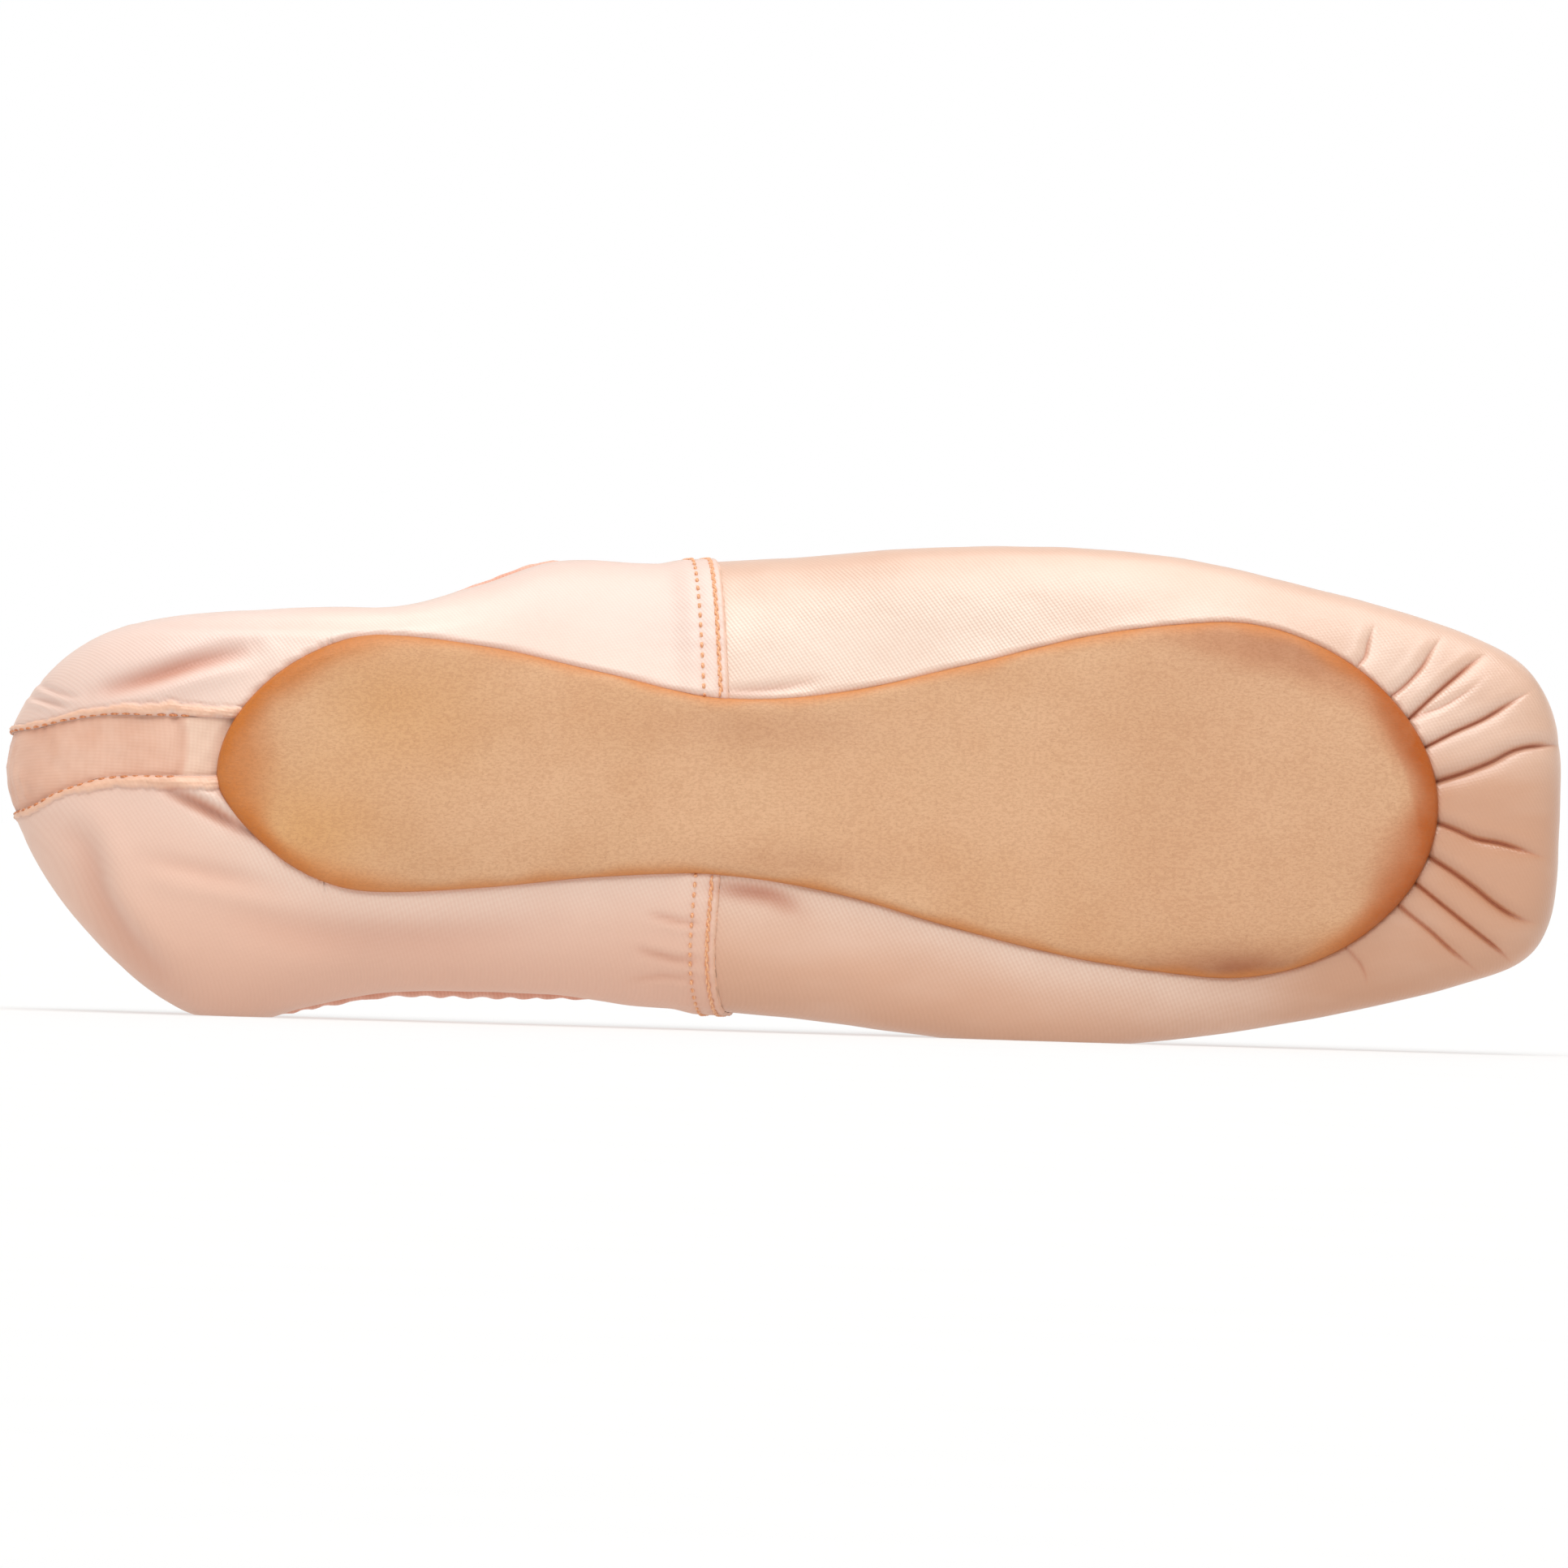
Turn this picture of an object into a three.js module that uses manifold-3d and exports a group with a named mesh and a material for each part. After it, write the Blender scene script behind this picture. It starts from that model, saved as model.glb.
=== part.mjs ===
// A pointe shoe that fits either foot, lying on its left side with the outsole facing -Y and the toe at +X.
// It is worked out standing: x runs from the back of the heel to the toe, y to the left, z up from the floor
// under the outsole, in millimetres. The group at the end lays it on its side.
import * as THREE from "three";
import { mergeVertices } from "three/addons/utils/BufferGeometryUtils.js";
import Module from "manifold-3d";

const wasm = await Module();
wasm.setup();

// ---- Driving dimensions
const LENGTH = 240; // back of the heel to the toe platform
const BALL_HALF = 38.5; // half the width over the ball
const INSTEP = 54; // height of the vamp's ridge at the throat
const HEEL_ROUND = 30; // how far forward the back of the heel is rounded
const TOE_ROUND = 14; // how far back the edge of the platform is rounded
const TOE_POWER = 3.5; // how square that rounding is
const TOE_LEFT_POWER = 4.5; // and on the left side, whose corner is worn in less
const LEAST_ROUND = 0.02; // keeps a section from vanishing at the two ends
const END_CREEP = 0.1; // how far the surface may pass the two ends
const GAP = 0.3; // between pieces that meet
const BOX_WALL = 2.8; // the stiffened toe box
const QUARTER_WALL = 1.6; // satin and lining at the sides and heel
const BOX_BACK = 140; // where the box has thinned to the quarters' wall
const BOX_FRONT = 190; // where the box reaches its full wall
const PRESSED_SIDE = 37.4; // the left side is pressed flat this far from the middle, where it lies on the floor

const SOLE_HEEL = 33; // the outsole's back end
const SOLE_TOE = 221; // the outsole's front end
const SOLE_HEEL_ROUND = 25;
const SOLE_TOE_ROUND = 36;
const SOLE_THICK = 2.2;
const SOLE_EDGE_THICK = 0.9;
const SOLE_BEVEL = 2; // width of the skived edge
const LASTED_MARGIN = 9; // how far the satin is turned in under the outsole
const INSOLE_THICK = 1.6;
const INSOLE_SHARE = 0.93; // the insole's width over the outsole's
const INSOLE_INSET = 3; // the insole's ends inside the outsole's
const INSOLE_GAP = 0.6; // over the turned-in satin, measured straight up

const BINDING_TALL = 3.4;
const BINDING_WIDE = 3.2;
const BINDING_SIDES = 8;

// ---- The last: a row for each section. at is a share of LENGTH, left and right are half widths as shares of
// BALL_HALF, under, widest and ridge are heights as shares of INSTEP, and the last four say how square each side
// of the section is below the widest line and above it.
const LAST = [
  {
    at: 0.0, left: 0.55, right: 0.62, under: 0.11, widest: 0.44, ridge: 1.44,
    leftLow: 2.4, rightLow: 3, leftHigh: 2.4, rightHigh: 2.4
  },
  {
    at: 0.05, left: 0.755, right: 0.635, under: 0.08, widest: 0.45, ridge: 1.44,
    leftLow: 2.4, rightLow: 3.4, leftHigh: 2.6, rightHigh: 2.4
  },
  {
    at: 0.1, left: 0.91, right: 0.63, under: 0.06, widest: 0.43, ridge: 1.43,
    leftLow: 3, rightLow: 4, leftHigh: 3, rightHigh: 2.4
  },
  {
    at: 0.15, left: 1.0, right: 0.65, under: 0.05, widest: 0.42, ridge: 1.4,
    leftLow: 3, rightLow: 5, leftHigh: 3.2, rightHigh: 2.5
  },
  {
    at: 0.2, left: 0.935, right: 0.67, under: 0.046, widest: 0.43, ridge: 1.37,
    leftLow: 3, rightLow: 6, leftHigh: 3.6, rightHigh: 2.5
  },
  {
    at: 0.25, left: 0.873, right: 0.68, under: 0.048, widest: 0.45, ridge: 1.33,
    leftLow: 2.4, rightLow: 6, leftHigh: 3.8, rightHigh: 2.6
  },
  {
    at: 0.3, left: 0.86, right: 0.78, under: 0.06, widest: 0.45, ridge: 1.29,
    leftLow: 2.4, rightLow: 4, leftHigh: 3.8, rightHigh: 2.8
  },
  {
    at: 0.35, left: 0.865, right: 0.89, under: 0.08, widest: 0.44, ridge: 1.25,
    leftLow: 2.4, rightLow: 2.6, leftHigh: 3.4, rightHigh: 3
  },
  {
    at: 0.42, left: 0.885, right: 0.892, under: 0.1, widest: 0.42, ridge: 1.2,
    leftLow: 2.5, rightLow: 2.5, leftHigh: 2.8, rightHigh: 2.7
  },
  {
    at: 0.5, left: 0.905, right: 0.934, under: 0.1, widest: 0.38, ridge: 1.13,
    leftLow: 3, rightLow: 3, leftHigh: 2.5, rightHigh: 2.5
  },
  {
    at: 0.58, left: 0.955, right: 0.984, under: 0.08, widest: 0.31, ridge: 1.06,
    leftLow: 3.6, rightLow: 3.2, leftHigh: 2.4, rightHigh: 2.4
  },
  {
    at: 0.67, left: 1.0, right: 1.01, under: 0.058, widest: 0.27, ridge: 0.97,
    leftLow: 4, rightLow: 3.6, leftHigh: 2.4, rightHigh: 2.4
  },
  {
    at: 0.75, left: 0.955, right: 0.978, under: 0.048, widest: 0.26, ridge: 0.87,
    leftLow: 4, rightLow: 3.6, leftHigh: 2.4, rightHigh: 2.4
  },
  {
    at: 0.83, left: 0.868, right: 0.882, under: 0.05, widest: 0.265, ridge: 0.76,
    leftLow: 3.4, rightLow: 3.4, leftHigh: 2.5, rightHigh: 2.5
  },
  {
    at: 0.92, left: 0.735, right: 0.742, under: 0.063, widest: 0.27, ridge: 0.66,
    leftLow: 3.2, rightLow: 3.2, leftHigh: 2.7, rightHigh: 2.7
  },
  {
    at: 1.0, left: 0.57, right: 0.545, under: 0.08, widest: 0.28, ridge: 0.6,
    leftLow: 3.2, rightLow: 3.2, leftHigh: 2.8, rightHigh: 2.8
  },
];

// ---- The outsole's outline: half widths to the left and right of the middle, in millimetres.
const SOLE = [
  { at: 33, left: 12, right: 19 },
  { at: 45, left: 16.3, right: 20.9 },
  { at: 58, left: 17.5, right: 22.1 },
  { at: 75, left: 16.3, right: 20.6 },
  { at: 92, left: 14.2, right: 17.3 },
  { at: 110, left: 13.3, right: 14 },
  { at: 128, left: 15.5, right: 15.3 },
  { at: 148, left: 20.6, right: 20.2 },
  { at: 168, left: 24.8, right: 25.5 },
  { at: 188, left: 26.9, right: 28.1 },
  { at: 205, left: 27.4, right: 28 },
  { at: 221, left: 27, right: 27 },
];

// ---- The upper's girth lines, from the middle of the toe round one side to the middle of the heel. Each fans
// out from spine, turned from the toe's direction, and ends at the collar, whose place is given along, out as a
// share of the half width there, and up.
const GIRTHS = [
  { spine: 204, turn: 0, along: 150, out: 0, up: 54 },
  { spine: 204, turn: 32, along: 149.7, out: 0.13, up: 53.9 },
  { spine: 204, turn: 62, along: 148.8, out: 0.27, up: 53.2 },
  { spine: 203, turn: 90, along: 146.8, out: 0.42, up: 52 },
  { spine: 186, turn: 90, along: 142.8, out: 0.57, up: 50 },
  { spine: 166, turn: 90, along: 135.5, out: 0.72, up: 47.3 },
  { spine: 144, turn: 90, along: 123, out: 0.83, up: 45 },
  { spine: 120, turn: 90, along: 107, out: 0.91, up: 43.4 },
  { spine: 96, turn: 90, along: 90, out: 0.95, up: 42.6 },
  { spine: 74, turn: 90, along: 72, out: 0.95, up: 43 },
  { spine: 52, turn: 90, along: 51, out: 0.94, up: 45 },
  { spine: 31, turn: 90, along: 31, out: 0.92, up: 48.5 },
  { spine: 30, turn: 120, along: 15, out: 0.84, up: 51.5 },
  { spine: 30, turn: 150, along: 6.5, out: 0.62, up: 53.8 },
  { spine: 30, turn: 180, along: 4, out: 0, up: 54.5 },
];
const LINES_PER_ROW = 3;
const LOW_STEPS = 8; // from the opening underneath to the widest line
const HIGH_STEPS = 11; // from the widest line to the collar
const RAYS = 40; // cast for each stretch before it is spaced evenly

// ---- The elastic strip up the back of the heel: its two edges, at angles round the heel's spine point.
const STRIP = [
  { angle: 112, right: -4.2, left: 8 },
  { angle: 150, right: -4.6, left: 7.6 },
  { angle: 180, right: -5.2, left: 7 },
  { angle: 196, right: -5.9, left: 5.9 },
  { angle: 211, right: -7.3, left: 3.2 },
  { angle: 230, right: -8.4, left: 1 },
  { angle: 258, right: -8.5, left: 0.5 },
  { angle: 292, right: -8.5, left: 0.2 },
];
const STRIP_STEPS = 24;
const STRIP_REACH = [8, 62]; // the cutter runs between these distances from the spine point

const radians = THREE.MathUtils.degToRad;
const mix = THREE.MathUtils.lerp;

// A table's columns at a place between its rows, on a smooth curve through them.
function between(table, key, place) {
  const last = table.length - 1;
  let row = 0;
  while (row < last - 1 && place > table[row + 1][key]) row++;
  const [before, here, next, after] = [row - 1, row, row + 1, row + 2].map(
    (i) => table[THREE.MathUtils.clamp(i, 0, last)],
  );
  const span = next[key] - here[key];
  const t = THREE.MathUtils.clamp((place - here[key]) / span, 0, 1);
  const blend = {};
  for (const column in here) {
    const slope = (a, b) => (a === b ? 0 : ((b[column] - a[column]) / (b[key] - a[key])) * span);
    const [start, end] = [slope(before, next), slope(here, after)];
    const [t2, t3] = [t * t, t * t * t];
    blend[column] =
      (2 * t3 - 3 * t2 + 1) * here[column] +
      (t3 - 2 * t2 + t) * start +
      (3 * t2 - 2 * t3) * next[column] +
      (t3 - t2) * end;
  }
  return blend;
}

// How much of its full size a form keeps near a rounded end: share runs from 0 inside to 1 at the very end.
const rounded = (share, power) =>
  share <= 0 ? 1 : Math.max((1 - Math.min(share, 1) ** power) ** (1 / power), LEAST_ROUND);

// The last's section at x, in millimetres.
function section(x) {
  const row = between(LAST, "at", x / LENGTH);
  const heel = rounded((HEEL_ROUND - x) / HEEL_ROUND, 2);
  const toe = (power) => rounded((x - (LENGTH - TOE_ROUND)) / TOE_ROUND, power);
  const close = heel * toe(TOE_POWER);
  const widest = row.widest * INSTEP;
  return {
    ...row,
    left: row.left * BALL_HALF * heel * toe(TOE_LEFT_POWER),
    right: row.right * BALL_HALF * close,
    widest,
    under: (widest - row.under * INSTEP) * close,
    over: (row.ridge * INSTEP - widest) * close,
  };
}

// Below 1 inside the last, 1 on its surface.
function level(p) {
  const s = section(p.x);
  const [half, low, high] = p.y > 0 ? [s.left, s.leftLow, s.leftHigh] : [s.right, s.rightLow, s.rightHigh];
  const power = p.z > s.widest ? high : low;
  const rise = p.z > s.widest ? (p.z - s.widest) / s.over : (s.widest - p.z) / s.under;
  const past = Math.max(p.x - LENGTH, -p.x, 0);
  return (Math.abs(p.y) / half) ** power + rise ** power + past / END_CREEP;
}

// The height of the last's underside at a place in plan.
function underside(x, y) {
  const s = section(x);
  const [half, power] = y > 0 ? [s.left, s.leftLow] : [s.right, s.rightLow];
  return s.widest - s.under * (1 - (Math.abs(y) / half) ** power) ** (1 / power);
}

// How far along a direction a test stays true.
function reach(inside, from, direction, most) {
  let [near, far] = [0, most];
  for (let step = 0; step < 34; step++) {
    const middle = (near + far) / 2;
    if (inside(from.clone().addScaledVector(direction, middle))) near = middle;
    else far = middle;
  }
  return near;
}

const onLast = (from, direction) =>
  from.clone().addScaledVector(direction, reach((p) => level(p) < 1, from, direction, LENGTH));

// The outward direction of the last's surface.
function outward(p) {
  const h = 0.05;
  const slope = (axis) => {
    const step = new THREE.Vector3().setComponent(axis, h);
    return level(p.clone().add(step)) - level(p.clone().sub(step));
  };
  return new THREE.Vector3(slope(0), slope(1), slope(2)).normalize();
}

// The outsole's half width on one side, drawn in by inset all round.
function soleHalf(x, side, inset = 0) {
  const [heel, toe] = [SOLE_HEEL + inset, SOLE_TOE - inset];
  const row = between(SOLE, "at", x);
  const close =
    rounded((heel + SOLE_HEEL_ROUND - x) / SOLE_HEEL_ROUND, 2) *
    rounded((x - (toe - SOLE_TOE_ROUND)) / SOLE_TOE_ROUND, 2);
  return Math.max((side > 0 ? row.left : row.right) - inset, 0) * close;
}

// Even points along the last's surface, seen from one point inside it and swinging between two directions.
function sweep(from, start, end, steps) {
  const points = [];
  const angle = start.angleTo(end);
  for (let ray = 0; ray <= RAYS; ray++) {
    const t = ray / RAYS;
    const direction = start
      .clone()
      .multiplyScalar(Math.sin((1 - t) * angle))
      .addScaledVector(end, Math.sin(t * angle))
      .normalize();
    points.push(onLast(from, direction));
  }
  return new THREE.CatmullRomCurve3(points).getSpacedPoints(steps);
}

// One girth line, from the opening underneath, round the widest line and up to the collar.
function girthLine(place, side) {
  const row = between(GIRTHS.map((girth, index) => ({ index, ...girth })), "index", place);
  const turn = radians(row.turn);
  const widest = new THREE.Vector3(Math.cos(turn), side * Math.sin(turn), 0);
  const from = new THREE.Vector3(row.spine, 0, section(row.spine).widest);
  const opening = (p) =>
    p.x > SOLE_HEEL + LASTED_MARGIN &&
    p.x < SOLE_TOE - LASTED_MARGIN &&
    Math.abs(p.y) < soleHalf(p.x, side, LASTED_MARGIN);
  const centre = new THREE.Vector3(Math.max(row.spine, SOLE_HEEL + LASTED_MARGIN + 8), 0, 0);
  const edge = centre.clone().addScaledVector(widest, reach(opening, centre, widest, LENGTH));
  edge.z = underside(edge.x, edge.y);
  const s = section(row.along);
  const collar = new THREE.Vector3(row.along, side * row.out * (side > 0 ? s.left : s.right), row.up);
  const low = sweep(from, edge.sub(from).normalize(), widest, LOW_STEPS);
  const high = sweep(from, widest, collar.sub(from).normalize(), HIGH_STEPS);
  return [...low, ...high.slice(1)];
}

const wallAt = (x) => mix(QUARTER_WALL, BOX_WALL, THREE.MathUtils.smoothstep(x, BOX_BACK, BOX_FRONT));

// The upper's outer and inner skins as girth lines that go once round the shoe.
function upperSkins() {
  const lines = [];
  const last = (GIRTHS.length - 1) * LINES_PER_ROW;
  for (let i = 0; i <= last; i++) lines.push(girthLine(i / LINES_PER_ROW, 1));
  for (let i = last - 1; i > 0; i--) lines.push(girthLine(i / LINES_PER_ROW, -1));
  const inner = lines.map((line) =>
    line.map((p) => {
      const wall = wallAt(p.x);
      const q = p.clone().addScaledVector(outward(p), -wall);
      q.y = Math.min(q.y, PRESSED_SIDE - wall);
      return q;
    }),
  );
  const outer = lines.map((line) =>
    line.map((p) => new THREE.Vector3(p.x, Math.min(p.y, PRESSED_SIDE), p.z)),
  );
  return { outer, inner };
}

// ---- Solids from rings of points
function solidOf(geometry) {
  for (const name of ["normal", "uv"]) geometry.deleteAttribute(name);
  const merged = mergeVertices(geometry, 1e-4);
  const solid = new wasm.Manifold(
    new wasm.Mesh({
      numProp: 3,
      vertProperties: new Float32Array(merged.attributes.position.array),
      triVerts: new Uint32Array(merged.index.array),
    }),
  );
  return solid;
}

// Rings of equal length joined into a tube. Closed, the last ring meets the first; open, both ends are capped.
function tube(rings, closed) {
  const size = rings[0].length;
  const positions = rings.flat().flatMap((p) => [p.x, p.y, p.z]);
  const index = [];
  const count = closed ? rings.length : rings.length - 1;
  for (let i = 0; i < count; i++) {
    const [a, b] = [i * size, ((i + 1) % rings.length) * size];
    for (let j = 0; j < size; j++) {
      const k = (j + 1) % size;
      index.push(a + j, b + j, b + k, a + j, b + k, a + k);
    }
  }
  if (!closed) {
    const end = (rings.length - 1) * size;
    for (let j = 1; j < size - 1; j++) index.push(0, j, j + 1, end, end + j + 1, end + j);
  }
  return new THREE.BufferGeometry()
    .setAttribute("position", new THREE.Float32BufferAttribute(positions, 3))
    .setIndex(index);
}

const flipped = (geometry) => {
  const array = geometry.index.array;
  for (let i = 0; i < array.length; i += 3) [array[i + 1], array[i + 2]] = [array[i + 2], array[i + 1]];
  return geometry;
};

function facingOut(geometry) {
  const solid = solidOf(geometry.clone());
  return solid.volume() < 0 ? solidOf(flipped(geometry)) : solid;
}

// The upper before the strip's slot is cut: each ring is one girth line, out along the outer skin and back
// along the inner one.
function wholeUpper({ outer, inner }) {
  return facingOut(tube(outer.map((line, i) => [...line, ...[...inner[i]].reverse()]), true));
}

// The wedge of space that the heel strip takes, grown sideways by grow.
function stripSpace(grow) {
  const s = section(HEEL_ROUND);
  const [first, last] = [STRIP[0].angle, STRIP.at(-1).angle];
  const rings = Array.from({ length: STRIP_STEPS + 1 }, (_, i) => {
    const { angle, right, left } = between(STRIP, "angle", mix(first, last, i / STRIP_STEPS));
    const [x, z] = [Math.cos(radians(angle)), Math.sin(radians(angle))];
    const corner = (distance, y) =>
      new THREE.Vector3(HEEL_ROUND + x * distance, y, s.widest + z * distance);
    const [near, far] = STRIP_REACH;
    return [
      corner(near, right - grow),
      corner(far, right - grow),
      corner(far, left + grow),
      corner(near, left + grow),
    ];
  });
  return facingOut(tube(rings, false));
}

// A plate under or inside the shoe: rows across the outline, each a ring over its top and back underneath.
function plate(heel, toe, halfAt, topAt, thickAt) {
  const rows = 36;
  const across = [-1, -0.93, -0.75, -0.45, 0, 0.45, 0.75, 0.93, 1];
  const rings = [];
  for (let i = 0; i <= rows; i++) {
    const x = mix(heel, toe, (1 - Math.cos((Math.PI * i) / rows)) / 2);
    const places = across.map((share) => share * Math.max(halfAt(x, share), LEAST_ROUND));
    const top = places.map((y) => new THREE.Vector3(x, y, topAt(x, y)));
    const under = top.map((p, j) => p.clone().setZ(p.z - thickAt(x, Math.abs(across[j]))));
    rings.push([...top, ...under.reverse()]);
  }
  return facingOut(tube(rings, false));
}

function outsole() {
  const thick = (x, share) => {
    const side = (1 - share) * soleHalf(x, 1);
    const margin = Math.min(side, x - SOLE_HEEL, SOLE_TOE - x);
    return mix(SOLE_EDGE_THICK, SOLE_THICK, THREE.MathUtils.clamp(margin / SOLE_BEVEL, 0, 1));
  };
  return plate(SOLE_HEEL, SOLE_TOE, soleHalf, (x, y) => underside(x, y) - GAP, thick);
}

function insole() {
  return plate(
    SOLE_HEEL + INSOLE_INSET,
    SOLE_TOE - INSOLE_INSET,
    (x, side) => soleHalf(x, side) * INSOLE_SHARE,
    (x, y) => underside(x, y) + wallAt(x) + INSOLE_GAP + INSOLE_THICK,
    () => INSOLE_THICK,
  );
}

// The collar's binding: an oval cord-filled bead that stands on the upper's edge all the way round.
function binding({ outer, inner }) {
  const rings = outer.map((line, i) => {
    const [edge, before] = [line.at(-1), line.at(-2)];
    const middle = edge.clone().add(inner[i].at(-1)).multiplyScalar(0.5);
    const up = edge.clone().sub(before).normalize();
    const out = edge.clone().sub(inner[i].at(-1)).normalize();
    middle.addScaledVector(up, GAP + BINDING_TALL / 2);
    return Array.from({ length: BINDING_SIDES }, (_, k) => {
      const angle = (2 * Math.PI * k) / BINDING_SIDES;
      return middle
        .clone()
        .addScaledVector(out, (Math.cos(angle) * BINDING_WIDE) / 2)
        .addScaledVector(up, (Math.sin(angle) * BINDING_TALL) / 2);
    }).map((p) => p.setY(Math.min(p.y, PRESSED_SIDE)));
  });
  return facingOut(tube(rings, true));
}

// ---- Meshes
const FINISHES = {
  satin: { color: 0xf0cdb8, roughness: 0.42 },
  elastic: { color: 0xe6b49a, roughness: 0.6 },
  tape: { color: 0xe0a78f, roughness: 0.75 },
  leather: { color: 0xd9a877, roughness: 0.6 },
  canvas: { color: 0xeaddc8, roughness: 0.85 },
};

function mesh(name, solid, finish) {
  const { vertProperties, triVerts, numProp, numVert } = solid.getMesh();
  const positions = new Float32Array(numVert * 3);
  for (let i = 0; i < numVert; i++)
    positions.set(vertProperties.subarray(i * numProp, i * numProp + 3), i * 3);
  const geometry = new THREE.BufferGeometry()
    .setAttribute("position", new THREE.BufferAttribute(positions, 3))
    .setIndex(new THREE.BufferAttribute(triVerts, 1));
  geometry.computeVertexNormals();
  const made = new THREE.Mesh(geometry, new THREE.MeshStandardMaterial({ ...FINISHES[finish], metalness: 0 }));
  made.name = name;
  return made;
}

const skins = upperSkins();
const whole = wholeUpper(skins);

const standing = new THREE.Group();
standing.add(
  mesh("upper", whole.subtract(stripSpace(GAP / 2)), "satin"),
  mesh("heel_strip", whole.intersect(stripSpace(-GAP / 2)), "elastic"),
  mesh("collar_binding", binding(skins), "tape"),
  mesh("outsole", outsole(), "leather"),
  mesh("insole", insole(), "canvas"),
);

// Turned onto its left side, with the middle of its box over the origin and its pressed side on the floor.
const shoe = new THREE.Group();
standing.rotation.x = -Math.PI / 2;
shoe.add(standing);
shoe.updateMatrixWorld(true);
const box = new THREE.Box3().setFromObject(shoe, true);
const middle = box.getCenter(new THREE.Vector3());
standing.position.set(-middle.x, -middle.y, -box.min.z);

export default shoe;
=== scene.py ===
"""The looks of a pointe shoe that lies on its left side, with the outsole facing -Y and the toe at +X.

Shapes are worked out standing, in millimetres: x from the back of the heel to the toe, y to the left and z up
from the floor under the outsole. lay() turns them onto the side, into the frame, in metres.
"""

import math

import bmesh
import bpy
import numpy as np
from mathutils import Matrix, Vector


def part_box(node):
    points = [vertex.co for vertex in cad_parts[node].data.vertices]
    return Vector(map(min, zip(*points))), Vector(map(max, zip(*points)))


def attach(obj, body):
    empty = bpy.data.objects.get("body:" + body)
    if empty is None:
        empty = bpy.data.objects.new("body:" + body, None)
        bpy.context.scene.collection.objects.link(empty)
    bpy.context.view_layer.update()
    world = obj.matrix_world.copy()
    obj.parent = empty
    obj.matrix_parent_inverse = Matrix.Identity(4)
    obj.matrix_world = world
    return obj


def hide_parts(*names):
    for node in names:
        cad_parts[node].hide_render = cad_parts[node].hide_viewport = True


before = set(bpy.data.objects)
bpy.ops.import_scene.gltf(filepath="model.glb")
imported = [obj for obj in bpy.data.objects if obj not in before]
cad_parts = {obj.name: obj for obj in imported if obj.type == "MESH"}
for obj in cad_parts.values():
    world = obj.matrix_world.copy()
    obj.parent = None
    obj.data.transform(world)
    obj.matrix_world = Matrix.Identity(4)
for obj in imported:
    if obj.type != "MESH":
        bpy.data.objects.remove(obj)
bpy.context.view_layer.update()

MM = 0.001
TAU = 2 * math.pi
SIDES = {1: "left", -1: "right"}

# ---- The last and its pieces, with the sizes of the CAD model
LENGTH = 240.0
BALL_HALF = 38.5
INSTEP = 54.0
HEEL_ROUND = 30.0
TOE_ROUND = 14.0
TOE_POWER = 3.5
TOE_LEFT_POWER = 4.5
LEAST_ROUND = 0.02
END_CREEP = 0.1
GAP = 0.3
BOX_WALL = 2.8
QUARTER_WALL = 1.6
BOX_BACK = 140.0
BOX_FRONT = 190.0
PRESSED_SIDE = 37.4

SOLE_HEEL = 33.0
SOLE_TOE = 221.0
SOLE_HEEL_ROUND = 25.0
SOLE_TOE_ROUND = 36.0
SOLE_THICK = 2.2
SOLE_EDGE_THICK = 0.9
SOLE_BEVEL = 2.0
SOLE_REACH = 60.0  # more than any distance from the spine to its edge
PLATE_RIM = 4.5  # the rings lie closer together this far in from the edge
LASTED_MARGIN = 9.0
INSOLE_THICK = 1.6
INSOLE_SHARE = 0.93
INSOLE_INSET = 3.0
INSOLE_GAP = 0.6
BINDING_TALL = 3.4

LAST_COLUMNS = (
    "at", "left", "right", "under", "widest", "ridge", "leftLow", "rightLow", "leftHigh", "rightHigh"
)
LAST_ROWS = (
    (0.0, 0.55, 0.62, 0.11, 0.44, 1.44, 2.4, 3.0, 2.4, 2.4),
    (0.05, 0.755, 0.635, 0.08, 0.45, 1.44, 2.4, 3.4, 2.6, 2.4),
    (0.1, 0.91, 0.63, 0.06, 0.43, 1.43, 3.0, 4.0, 3.0, 2.4),
    (0.15, 1.0, 0.65, 0.05, 0.42, 1.4, 3.0, 5.0, 3.2, 2.5),
    (0.2, 0.935, 0.67, 0.046, 0.43, 1.37, 3.0, 6.0, 3.6, 2.5),
    (0.25, 0.873, 0.68, 0.048, 0.45, 1.33, 2.4, 6.0, 3.8, 2.6),
    (0.3, 0.86, 0.78, 0.06, 0.45, 1.29, 2.4, 4.0, 3.8, 2.8),
    (0.35, 0.865, 0.89, 0.08, 0.44, 1.25, 2.4, 2.6, 3.4, 3.0),
    (0.42, 0.885, 0.892, 0.1, 0.42, 1.2, 2.5, 2.5, 2.8, 2.7),
    (0.5, 0.905, 0.934, 0.1, 0.38, 1.13, 3.0, 3.0, 2.5, 2.5),
    (0.58, 0.955, 0.984, 0.08, 0.31, 1.06, 3.6, 3.2, 2.4, 2.4),
    (0.67, 1.0, 1.01, 0.058, 0.27, 0.97, 4.0, 3.6, 2.4, 2.4),
    (0.75, 0.955, 0.978, 0.048, 0.26, 0.87, 4.0, 3.6, 2.4, 2.4),
    (0.83, 0.868, 0.882, 0.05, 0.265, 0.76, 3.4, 3.4, 2.5, 2.5),
    (0.92, 0.735, 0.742, 0.063, 0.27, 0.66, 3.2, 3.2, 2.7, 2.7),
    (1.0, 0.57, 0.545, 0.08, 0.28, 0.6, 3.2, 3.2, 2.8, 2.8),
)
LAST = dict(zip(LAST_COLUMNS, zip(*LAST_ROWS)))
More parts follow.
